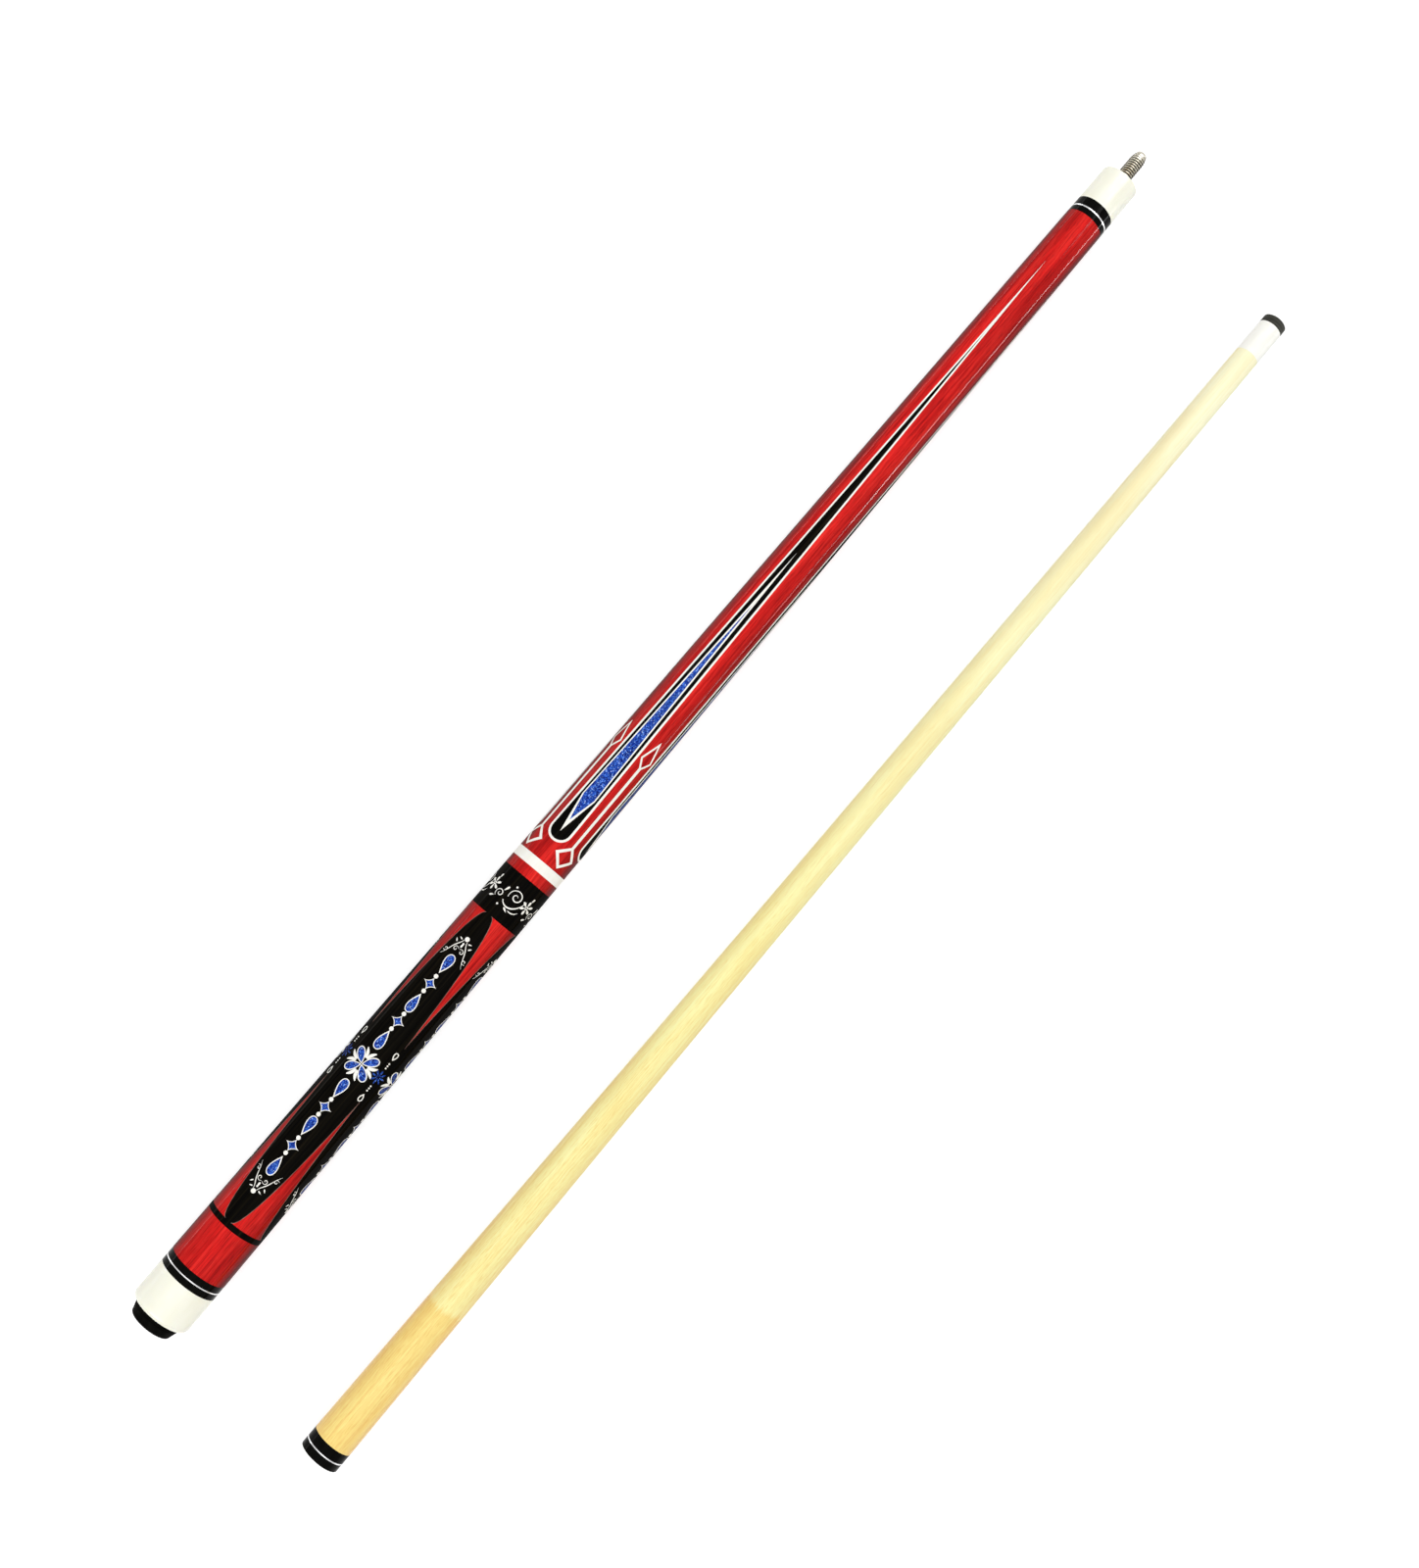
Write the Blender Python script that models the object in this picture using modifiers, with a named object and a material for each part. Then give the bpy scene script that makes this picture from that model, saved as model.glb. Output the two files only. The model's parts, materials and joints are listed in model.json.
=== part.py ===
"""A two-piece pool cue, unscrewed, with its butt and its shaft lying side by side on a floor.

Lengths are in metres. Each half is built along its own axis as turned pieces, from station 0 at its
rear end, and hangs on an empty at that end. The empty tips the half by its own taper, so that it
lies along the floor at Z = 0 with its front end towards +X.
"""

import math

import bmesh
import bpy

MM = 0.001

# Overall sizes of the two halves
BUTT_LENGTH = 736.6 * MM
BUTT_DIAMETER = 31.6 * MM
JOINT_DIAMETER = 21.3 * MM
SHAFT_LENGTH = 736.6 * MM
TIP_DIAMETER = 13.0 * MM

# Lengths along the butt, from the rear end forwards
CAP_LENGTH = 20.7 * MM
REAR_RING_LENGTH = 3.3 * MM
REAR_LINE_LENGTH = 0.8 * MM
FRONT_RING_LENGTH = 3.5 * MM
SLEEVE_LENGTH = 25.1 * MM
SLEEVE_BAND_LENGTH = 3.0 * MM
SCROLL_BAND_LENGTH = 24.7 * MM
RED_RING_LENGTH = 5.7 * MM
WHITE_RING_LENGTH = 5.4 * MM
FOREARM_LENGTH = 427.9 * MM
JOINT_RING_LENGTH = 3.2 * MM
JOINT_LINE_LENGTH = 1.0 * MM
JOINT_BLACK_LENGTH = 5.0 * MM
COLLAR_LENGTH = 21.3 * MM

# Lengths along the shaft, from the joint face forwards
SHAFT_COLLAR_LENGTH = 4.2 * MM
SHAFT_LINE_LENGTH = 0.8 * MM
SHAFT_RING_LENGTH = 5.0 * MM
FERRULE_LENGTH = 19.3 * MM
TIP_LENGTH = 6.5 * MM

# The shaft has a quick taper at its joint end and a slow one towards the tip
WAIST_STATION = 300.0 * MM
WAIST_DIAMETER = 16.1 * MM
WAIST_BLEND = 0.5 * MM
SHAFT_STATIONS = 16

# Wooden tenons that carry the rings, the sleeve, the cap, the collars and the ferrule
REAR_TENON_DIAMETER = 22.0 * MM
FRONT_TENON_DIAMETER = 20.0 * MM
JOINT_TENON_DIAMETER = 14.0 * MM
SHAFT_TENON_DIAMETER = 16.0 * MM
FERRULE_TENON_DIAMETER = 8.4 * MM
CAP_END_WALL = 4.0 * MM
FERRULE_END_WALL = 3.4 * MM

# Rubber bumper, a plug with ribs that is pushed into the cap
BUMPER_HEIGHT = 6.5 * MM
BUMPER_DIAMETER = 25.2 * MM
BUMPER_END_DIAMETER = 22.4 * MM
BUMPER_EDGE = 1.4 * MM
BUMPER_DIMPLE_DIAMETER = 6.0 * MM
BUMPER_DIMPLE_DEPTH = 1.6 * MM
BUMPER_STEM_DIAMETER = 14.6 * MM
BUMPER_STEM_LENGTH = 16.0 * MM
BUMPER_NECK_DEPTH = 0.8 * MM
BUMPER_RIBS = 3

# Threaded metal pieces, as plain cylinders of their outer diameter
PIN_DIAMETER = 7.94 * MM
PIN_REACH = 19.0 * MM
PIN_NOSE_LENGTH = 5.5 * MM
PIN_NOSE_DIAMETER = 5.4 * MM
PIN_ROOT_LENGTH = 46.0 * MM
HANDLE_SCREW_DIAMETER = 9.53 * MM
HANDLE_SCREW_LENGTH = 60.0 * MM
WEIGHT_BOLT_DIAMETER = 12.7 * MM
WEIGHT_BOLT_LENGTH = 40.0 * MM
WEIGHT_BOLT_TRAVEL = 12.0 * MM
HEX_KEY_WIDTH = 6.35 * MM
HEX_SOCKET_DEPTH = 7.0 * MM
INSERT_DIAMETER = 12.0 * MM
INSERT_LENGTH = 28.0 * MM
THREAD_CHAMFER = 1.0 * MM

# Clearances and small edges
GLUE_SEAM = 0.1 * MM
FIT_GAP = 0.3 * MM
THREAD_GAP = 0.3 * MM
BORE_RELIEF = 3.0 * MM
CAP_EDGE = 3.0 * MM
COLLAR_EDGE = 0.5 * MM
TIP_DOME_RADIUS = 10.6 * MM
EDGE_STEPS = 4

# How the halves lie: the shaft beside the butt, its joint end level with the butt's rear end
SHAFT_ASIDE = 101.2 * MM
SHAFT_SET_BACK = 3.1 * MM
SHAFT_TOE_OUT = math.radians(0.53)

SIDES = 32
SHARP_ANGLE = math.radians(32)
MERGE_DISTANCE = 1e-6

# Stations along the butt, each worked out from the pieces behind it
REAR_RING_AT = CAP_LENGTH
REAR_LINE_AT = REAR_RING_AT + REAR_RING_LENGTH
FRONT_RING_AT = REAR_LINE_AT + REAR_LINE_LENGTH
SLEEVE_AT = FRONT_RING_AT + FRONT_RING_LENGTH
SLEEVE_BAND_AT = SLEEVE_AT + SLEEVE_LENGTH
HANDLE_AT = SLEEVE_BAND_AT + SLEEVE_BAND_LENGTH

# Stations along the butt, each worked out from the pieces in front of it
COLLAR_AT = BUTT_LENGTH - COLLAR_LENGTH
JOINT_BLACK_AT = COLLAR_AT - JOINT_BLACK_LENGTH
JOINT_LINE_AT = JOINT_BLACK_AT - JOINT_LINE_LENGTH
JOINT_RING_AT = JOINT_LINE_AT - JOINT_RING_LENGTH
FOREARM_AT = JOINT_RING_AT - FOREARM_LENGTH
WHITE_RING_AT = FOREARM_AT - WHITE_RING_LENGTH
RED_RING_AT = WHITE_RING_AT - RED_RING_LENGTH
SCROLL_BAND_AT = RED_RING_AT - SCROLL_BAND_LENGTH

# Stations along the shaft
SHAFT_LINE_AT = SHAFT_COLLAR_LENGTH
SHAFT_RING_AT = SHAFT_LINE_AT + SHAFT_LINE_LENGTH
SHAFT_WOOD_AT = SHAFT_RING_AT + SHAFT_RING_LENGTH
TIP_AT = SHAFT_LENGTH - TIP_LENGTH
FERRULE_AT = TIP_AT - FERRULE_LENGTH

# The weight bolt sits at the bottom of its bore, with its travel and the bumper's plug behind it
BUMPER_BORE_END = BUMPER_STEM_LENGTH + FIT_GAP
WEIGHT_BOLT_AT = BUMPER_BORE_END + BORE_RELIEF + WEIGHT_BOLT_TRAVEL
WEIGHT_BORE_END = WEIGHT_BOLT_AT + WEIGHT_BOLT_LENGTH + FIT_GAP


def butt_radius(station):
    """One straight taper from the butt's rear end to its joint face."""
    share = station / BUTT_LENGTH
    return (BUTT_DIAMETER + (JOINT_DIAMETER - BUTT_DIAMETER) * share) / 2


def shaft_radius(station):
    """Two straight tapers that blend into each other at the waist."""
    quick = (JOINT_DIAMETER - WAIST_DIAMETER) / WAIST_STATION
    slow = (WAIST_DIAMETER - TIP_DIAMETER) / (FERRULE_AT - WAIST_STATION)
    from_waist = station - WAIST_STATION
    rear = WAIST_DIAMETER - quick * from_waist
    front = WAIST_DIAMETER - slow * from_waist
    blend = math.hypot(rear - front, WAIST_BLEND)
    return (rear + front + blend) / 4


def arc(centre_radius, centre_height, radius, start, end, steps=EDGE_STEPS):
    """Points of a round edge in a turned profile, as (radius, height)."""
    points = []
    for step in range(steps + 1):
        angle = math.radians(start + (end - start) * step / steps)
        across = centre_radius + radius * math.cos(angle)
        along = centre_height + radius * math.sin(angle)
        points.append((across, along))
    return points


def material(name, colour, roughness, metallic=0.0):
    made = bpy.data.materials.new(name)
    made.use_nodes = True
    shader = made.node_tree.nodes["Principled BSDF"]
    shader.inputs["Base Color"].default_value = (*colour, 1.0)
    shader.inputs["Roughness"].default_value = roughness
    shader.inputs["Metallic"].default_value = metallic
    return made


def axis_empty(name, collection, place, tip_down, turn):
    """An empty at a half's rear end. Its +Z runs along the half, and its +X points at the floor."""
    empty = bpy.data.objects.new(name, None)
    empty.location = place
    empty.rotation_euler = (0.0, math.pi / 2 + tip_down, turn)
    empty.empty_display_size = BUTT_DIAMETER
    collection.objects.link(empty)
    return empty


def turned(name, half, station, profile, finish, closed):
    """A piece turned from a profile of (radius, station) points, running down its outer side."""
    mesh = bpy.data.meshes.new(name)
    shape = bmesh.new()
    corners = [shape.verts.new((across, 0.0, along - station)) for across, along in profile]
    for first, second in zip(corners, corners[1:]):
        shape.edges.new((first, second))
    if closed:
        shape.edges.new((corners[-1], corners[0]))
    shape.to_mesh(mesh)
    shape.free()
    mesh.materials.append(finish)
    piece = bpy.data.objects.new(name, mesh)
    half.users_collection[0].objects.link(piece)
    piece.parent = half
    piece.location = (0.0, 0.0, station)
    screw = piece.modifiers.new("Turn", "SCREW")
    screw.axis = "Z"
    screw.angle = math.tau
    screw.steps = SIDES
    screw.render_steps = SIDES
    screw.use_merge_vertices = True
    screw.merge_threshold = MERGE_DISTANCE
    screw.use_smooth_shade = True
    smooth_with_sharp_edges(piece)
    return piece


def smooth_with_sharp_edges(piece):
    """Turns the profile into a mesh that is shaded smooth between its sharp edges."""
    graph = bpy.context.evaluated_depsgraph_get()
    mesh = bpy.data.meshes.new_from_object(piece.evaluated_get(graph))
    mesh.name = piece.name
    mesh.shade_smooth()
    mesh.set_sharp_from_angle(angle=SHARP_ANGLE)
    piece.modifiers.clear()
    profile = piece.data
    piece.data = mesh
    bpy.data.meshes.remove(profile)


def band(name, half, start, length, radius_at, bore_diameter, finish):
    """A ring or a sleeve that carries on the taper of its half, glued over a tenon."""
    low = start + GLUE_SEAM / 2
    high = start + length - GLUE_SEAM / 2
    bore = bore_diameter / 2 + FIT_GAP
    profile = [(radius_at(high), high), (radius_at(low), low), (bore, low), (bore, high)]
    return turned(name, half, start, profile, finish, closed=True)


def make_handle(half, finish):
    """The handle with a tenon at each end, a stepped bore behind and a screw hole in front."""
    front_end = FOREARM_AT - GLUE_SEAM
    screw_bore = HANDLE_SCREW_DIAMETER / 2 + THREAD_GAP
    screw_bottom = FOREARM_AT - HANDLE_SCREW_LENGTH / 2 - FIT_GAP
    front_tenon = FRONT_TENON_DIAMETER / 2
    rear_tenon = REAR_TENON_DIAMETER / 2
    rear_end = CAP_END_WALL + FIT_GAP
    plug_bore = BUMPER_STEM_DIAMETER / 2 + FIT_GAP
    weight_bore = WEIGHT_BOLT_DIAMETER / 2 + THREAD_GAP
    profile = [
        (0.0, screw_bottom),
        (screw_bore, screw_bottom),
        (screw_bore, front_end),
        (front_tenon, front_end),
        (front_tenon, SCROLL_BAND_AT),
        (butt_radius(SCROLL_BAND_AT), SCROLL_BAND_AT),
        (butt_radius(HANDLE_AT), HANDLE_AT),
        (rear_tenon, HANDLE_AT),
        (rear_tenon, rear_end),
        (plug_bore, rear_end),
        (plug_bore, BUMPER_BORE_END),
        (weight_bore, BUMPER_BORE_END),
        (weight_bore, WEIGHT_BORE_END),
        (0.0, WEIGHT_BORE_END),
    ]
    return turned("handle", half, HANDLE_AT, profile, finish, closed=False)


def make_forearm(half, finish):
    """The forearm with a screw hole behind, and a bored tenon in front for the rings and the pin."""
    front_end = BUTT_LENGTH - FIT_GAP
    tenon = JOINT_TENON_DIAMETER / 2
    pin_bore = PIN_DIAMETER / 2 + THREAD_GAP
    pin_bottom = BUTT_LENGTH - PIN_ROOT_LENGTH - FIT_GAP
    screw_bore = HANDLE_SCREW_DIAMETER / 2 + THREAD_GAP
    screw_bottom = FOREARM_AT + HANDLE_SCREW_LENGTH / 2 + FIT_GAP
    profile = [
        (0.0, pin_bottom),
        (pin_bore, pin_bottom),
        (pin_bore, front_end),
        (tenon, front_end),
        (tenon, JOINT_RING_AT),
        (butt_radius(JOINT_RING_AT), JOINT_RING_AT),
        (butt_radius(FOREARM_AT), FOREARM_AT),
        (screw_bore, FOREARM_AT),
        (screw_bore, screw_bottom),
        (0.0, screw_bottom),
    ]
    return turned("forearm", half, FOREARM_AT, profile, finish, closed=False)


def make_butt_cap(half, finish):
    """The cap: a cup over the rear tenon, with a round rear edge and a hole for the plug."""
    high = CAP_LENGTH - GLUE_SEAM / 2
    plug_hole = BUMPER_STEM_DIAMETER / 2 + FIT_GAP
    tenon_bore = REAR_TENON_DIAMETER / 2 + FIT_GAP
    edge_centre = butt_radius(CAP_EDGE) - CAP_EDGE
    profile = [(butt_radius(high), high)]
    profile += arc(edge_centre, CAP_EDGE, CAP_EDGE, 0, -90)
    profile += [(plug_hole, 0.0), (plug_hole, CAP_END_WALL)]
    profile += [(tenon_bore, CAP_END_WALL), (tenon_bore, high)]
    return turned("butt_cap", half, 0.0, profile, finish, closed=True)


def make_bumper(half, finish):
    """The rubber bumper: a tapered foot with a dimple, and a plug with ribs round it."""
    seat = -FIT_GAP
    foot = -BUMPER_HEIGHT
    dimple = BUMPER_DIMPLE_DIAMETER / 2
    rib = BUMPER_STEM_DIAMETER / 2
    neck = rib - BUMPER_NECK_DEPTH
    rib_pitch = BUMPER_STEM_LENGTH / (BUMPER_RIBS + 1)
    edge_centre = BUMPER_END_DIAMETER / 2 - BUMPER_EDGE
    profile = [(0.0, BUMPER_STEM_LENGTH), (neck, BUMPER_STEM_LENGTH)]
    for count in range(BUMPER_RIBS):
        middle = BUMPER_STEM_LENGTH - (count + 0.5) * rib_pitch
        profile.append((neck, middle + rib_pitch / 2 - BUMPER_NECK_DEPTH / 2))
        profile.append((rib, middle))
        profile.append((neck, middle - BUMPER_NECK_DEPTH / 2))
    profile += [(neck, seat), (BUMPER_DIAMETER / 2, seat)]
    profile += arc(edge_centre, foot + BUMPER_EDGE, BUMPER_EDGE, 0, -90)
    profile += [(dimple, foot), (dimple / 2, foot + BUMPER_DIMPLE_DEPTH)]
    profile.append((0.0, foot + BUMPER_DIMPLE_DEPTH))
    return turned("bumper", half, 0.0, profile, finish, closed=False)


def make_threaded_rod(name, half, start, length, diameter, finish):
    """A screw without a head, as a cylinder with a chamfer at each end."""
    radius = diameter / 2
    end = start + length
    profile = [
        (0.0, end),
        (radius - THREAD_CHAMFER, end),
        (radius, end - THREAD_CHAMFER),
        (radius, start + THREAD_CHAMFER),
        (radius - THREAD_CHAMFER, start),
        (0.0, start),
    ]
    return turned(name, half, start, profile, finish, closed=False)


def make_joint_pin(half, finish):
    """The joint pin: a threaded rod set in the forearm, with a bullet nose in front."""
    radius = PIN_DIAMETER / 2
    front = BUTT_LENGTH + PIN_REACH
    rear = BUTT_LENGTH - PIN_ROOT_LENGTH
    shoulder = front - PIN_NOSE_LENGTH
    nose = PIN_NOSE_DIAMETER / 2
    profile = [(0.0, front)]
    profile += arc(nose - THREAD_CHAMFER, front - THREAD_CHAMFER, THREAD_CHAMFER, 90, 20)
    profile += [(radius, shoulder), (radius, rear + THREAD_CHAMFER)]
    profile += [(radius - THREAD_CHAMFER, rear), (0.0, rear)]
    return turned("joint_pin", half, BUTT_LENGTH, profile, finish, closed=False)


def make_joint_collar(half, finish):
    """The white collar at the joint face, with its outer edge broken."""
    low = COLLAR_AT + GLUE_SEAM / 2
    bore = JOINT_TENON_DIAMETER / 2 + FIT_GAP
    edge_at = BUTT_LENGTH - COLLAR_EDGE
    profile = [
        (butt_radius(BUTT_LENGTH) - COLLAR_EDGE, BUTT_LENGTH),
        (butt_radius(edge_at), edge_at),
        (butt_radius(low), low),
        (bore, low),
        (bore, BUTT_LENGTH),
    ]
    return turned("joint_collar", half, COLLAR_AT, profile, finish, closed=True)


def make_weight_bolt(half, cutters, finish):
    """The weight bolt, with a socket for a hex key in its rear end."""
    bolt = make_threaded_rod(
        "weight_bolt", half, WEIGHT_BOLT_AT, WEIGHT_BOLT_LENGTH, WEIGHT_BOLT_DIAMETER, finish
    )
    mesh = bpy.data.meshes.new("hex_key_socket")
    shape = bmesh.new()
    corner_radius = HEX_KEY_WIDTH / math.sqrt(3)
    bmesh.ops.create_cone(
        shape,
        cap_ends=True,
        segments=6,
        radius1=corner_radius,
        radius2=corner_radius,
        depth=2 * HEX_SOCKET_DEPTH,
    )
    shape.to_mesh(mesh)
    shape.free()
    socket = bpy.data.objects.new("hex_key_socket", mesh)
    cutters.objects.link(socket)
    socket.parent = half
    socket.location = (0.0, 0.0, WEIGHT_BOLT_AT)
    socket.hide_render = True
    socket.display_type = "WIRE"
    cut = bolt.modifiers.new("Hex socket", "BOOLEAN")
    cut.operation = "DIFFERENCE"
    cut.solver = "EXACT"
    cut.object = socket
    return bolt


def make_shaft(half, finish):
    """The shaft's wood: a bored tenon behind, two blended tapers and a tenon for the ferrule."""
    rear_end = FIT_GAP
    tenon = SHAFT_TENON_DIAMETER / 2
    ferrule_tenon = FERRULE_TENON_DIAMETER / 2
    insert_bore = INSERT_DIAMETER / 2 + THREAD_GAP
    pin_bore = PIN_DIAMETER / 2 + THREAD_GAP
    insert_bottom = FIT_GAP + INSERT_LENGTH + FIT_GAP
    pin_bottom = insert_bottom + BORE_RELIEF
    front_end = TIP_AT - FERRULE_END_WALL - FIT_GAP
    wood_length = FERRULE_AT - SHAFT_WOOD_AT
    profile = [(0.0, front_end), (ferrule_tenon, front_end), (ferrule_tenon, FERRULE_AT)]
    for step in range(SHAFT_STATIONS, -1, -1):
        station = SHAFT_WOOD_AT + wood_length * step / SHAFT_STATIONS
        profile.append((shaft_radius(station), station))
    profile += [
        (tenon, SHAFT_WOOD_AT),
        (tenon, rear_end),
        (insert_bore, rear_end),
        (insert_bore, insert_bottom),
        (pin_bore, insert_bottom),
        (pin_bore, pin_bottom),
        (0.0, pin_bottom),
    ]
    return turned("shaft", half, SHAFT_WOOD_AT, profile, finish, closed=False)


def make_shaft_collar(half, finish):
    """The black collar at the shaft's joint face, with its outer edge broken."""
    high = SHAFT_COLLAR_LENGTH - GLUE_SEAM / 2
    bore = SHAFT_TENON_DIAMETER / 2 + FIT_GAP
    profile = [
        (shaft_radius(high), high),
        (shaft_radius(COLLAR_EDGE), COLLAR_EDGE),
        (shaft_radius(0.0) - COLLAR_EDGE, 0.0),
        (bore, 0.0),
        (bore, high),
    ]
    return turned("shaft_collar", half, 0.0, profile, finish, closed=True)


def make_shaft_insert(half, finish):
    """The brass insert that the pin screws into, open at both ends with a chamfered mouth."""
    low = FIT_GAP
    high = FIT_GAP + INSERT_LENGTH
    outer = INSERT_DIAMETER / 2
    bore = PIN_DIAMETER / 2 + THREAD_GAP
    profile = [
        (outer, high),
        (outer, low),
        (bore + THREAD_CHAMFER / 2, low),
        (bore, low + THREAD_CHAMFER / 2),
        (bore, high),
    ]
    return turned("shaft_insert", half, 0.0, profile, finish, closed=True)


def make_ferrule(half, finish):
    """The ferrule: a cap over the shaft's front tenon, on which the tip is glued."""
    low = FERRULE_AT + GLUE_SEAM / 2
    high = TIP_AT - GLUE_SEAM / 2
    bore = FERRULE_TENON_DIAMETER / 2 + FIT_GAP
    bore_end = TIP_AT - FERRULE_END_WALL
    outer = TIP_DIAMETER / 2
    profile = [(0.0, high), (outer, high), (outer, low)]
    profile += [(bore, low), (bore, bore_end), (0.0, bore_end)]
    return turned("ferrule", half, FERRULE_AT, profile, finish, closed=False)


def make_tip(half, finish):
    """The leather tip, a short cylinder under a dome."""
    low = TIP_AT + GLUE_SEAM / 2
    outer = TIP_DIAMETER / 2
    half_angle = math.degrees(math.asin(outer / TIP_DOME_RADIUS))
    dome_centre = SHAFT_LENGTH - TIP_DOME_RADIUS
    profile = arc(0.0, dome_centre, TIP_DOME_RADIUS, 90, 90 - half_angle)
    profile[0] = (0.0, SHAFT_LENGTH)
    profile += [(outer, low), (0.0, low)]
    return turned("tip", half, TIP_AT, profile, finish, closed=False)


def lay_out_halves(collection):
    """The two empties, placed so that the whole cue's box is centred on the origin."""
    butt_tip_down = math.atan2((BUTT_DIAMETER - JOINT_DIAMETER) / 2, BUTT_LENGTH)
    shaft_tip_down = math.atan2((JOINT_DIAMETER - TIP_DIAMETER) / 2, TIP_AT)
    middle = (PIN_REACH + BUTT_LENGTH - BUMPER_HEIGHT) / 2
    rear_x = -middle * math.cos(butt_tip_down)
    shaft_spread = SHAFT_LENGTH * math.sin(SHAFT_TOE_OUT)
    near_edge = -SHAFT_ASIDE - max(JOINT_DIAMETER / 2, shaft_spread + TIP_DIAMETER / 2)
    far_edge = butt_radius(CAP_EDGE)
    butt_y = -(near_edge + far_edge) / 2
    butt_z = BUTT_DIAMETER / 2 * math.cos(butt_tip_down)
    shaft_z = JOINT_DIAMETER / 2 * math.cos(shaft_tip_down)
    butt_place = (rear_x, butt_y, butt_z)
    shaft_place = (rear_x - SHAFT_SET_BACK, butt_y - SHAFT_ASIDE, shaft_z)
    butt = axis_empty("butt_axis", collection, butt_place, butt_tip_down, 0.0)
    shaft = axis_empty("shaft_axis", collection, shaft_place, shaft_tip_down, -SHAFT_TOE_OUT)
    return butt, shaft


def make_butt(half, cutters):
    red = material("red stained maple", (0.55, 0.02, 0.015), 0.12)
    dark = material("black stained maple", (0.012, 0.011, 0.009), 0.12)
    black = material("black phenolic", (0.006, 0.006, 0.006), 0.1)
    silver = material("silver ring", (0.82, 0.82, 0.84), 0.18, 1.0)
    ivory = material("ivory plastic", (0.95, 0.93, 0.84), 0.15)
    rubber = material("black rubber", (0.012, 0.012, 0.011), 0.7)
    steel = material("stainless steel", (0.62, 0.6, 0.55), 0.25, 1.0)
    make_bumper(half, rubber)
    make_butt_cap(half, ivory)
    make_weight_bolt(half, cutters, steel)
    rear_rings = (
        ("rear_ring", REAR_RING_AT, REAR_RING_LENGTH, black),
        ("rear_ring_line", REAR_LINE_AT, REAR_LINE_LENGTH, silver),
        ("sleeve_ring", FRONT_RING_AT, FRONT_RING_LENGTH, black),
        ("butt_sleeve", SLEEVE_AT, SLEEVE_LENGTH, red),
        ("sleeve_band", SLEEVE_BAND_AT, SLEEVE_BAND_LENGTH, dark),
    )
    for name, start, length, finish in rear_rings:
        band(name, half, start, length, butt_radius, REAR_TENON_DIAMETER, finish)
    make_handle(half, dark)
    middle_rings = (
        ("scroll_band", SCROLL_BAND_AT, SCROLL_BAND_LENGTH, dark),
        ("red_ring", RED_RING_AT, RED_RING_LENGTH, red),
        ("white_ring", WHITE_RING_AT, WHITE_RING_LENGTH, ivory),
    )
    for name, start, length, finish in middle_rings:
        band(name, half, start, length, butt_radius, FRONT_TENON_DIAMETER, finish)
    screw_start = FOREARM_AT - HANDLE_SCREW_LENGTH / 2
    make_threaded_rod(
        "handle_screw", half, screw_start, HANDLE_SCREW_LENGTH, HANDLE_SCREW_DIAMETER, steel
    )
    make_forearm(half, red)
    joint_rings = (
        ("joint_ring", JOINT_RING_AT, JOINT_RING_LENGTH, black),
        ("joint_ring_line", JOINT_LINE_AT, JOINT_LINE_LENGTH, silver),
        ("collar_ring", JOINT_BLACK_AT, JOINT_BLACK_LENGTH, black),
    )
    for name, start, length, finish in joint_rings:
        band(name, half, start, length, butt_radius, JOINT_TENON_DIAMETER, finish)
    make_joint_collar(half, ivory)
    make_joint_pin(half, steel)


def make_shaft_half(half):
    black = material("black phenolic collar", (0.006, 0.006, 0.006), 0.1)
    silver = material("silver shaft ring", (0.82, 0.82, 0.84), 0.18, 1.0)
    maple = material("clear maple", (0.86, 0.62, 0.3), 0.3)
    white = material("white ferrule", (0.96, 0.95, 0.9), 0.25)
    leather = material("dark leather", (0.05, 0.048, 0.043), 0.75)
    brass = material("brass", (0.72, 0.5, 0.2), 0.3, 1.0)
    make_shaft_collar(half, black)
    shaft_rings = (
        ("shaft_ring_line", SHAFT_LINE_AT, SHAFT_LINE_LENGTH, silver),
        ("shaft_ring", SHAFT_RING_AT, SHAFT_RING_LENGTH, black),
    )
    for name, start, length, finish in shaft_rings:
        band(name, half, start, length, shaft_radius, SHAFT_TENON_DIAMETER, finish)
    make_shaft_insert(half, brass)
    make_shaft(half, maple)
    make_ferrule(half, white)
    make_tip(half, leather)


def main():
    for old in list(bpy.data.objects):
        bpy.data.objects.remove(old, do_unlink=True)
    pieces = bpy.data.collections.new("Pool_cue")
    cutters = bpy.data.collections.new("Cutters")
    bpy.context.scene.collection.children.link(pieces)
    bpy.context.scene.collection.children.link(cutters)
    butt, shaft = lay_out_halves(pieces)
    make_butt(butt, cutters)
    make_shaft_half(shaft)


main()
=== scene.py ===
"""The looks of a two-piece pool cue that lies unscrewed on a pale studio floor.

Each visible piece is turned again with a fine surface on the axis of its half, and the inlays are thin
plates that are cut flat and then wrapped round the taper. Sizes are in millimetres along each half,
from station 0 at its rear end, and the place of each half comes from the frame.
"""

import cmath
import json
import math

import bmesh
import bpy
from mathutils import Euler, Matrix, Vector


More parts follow.
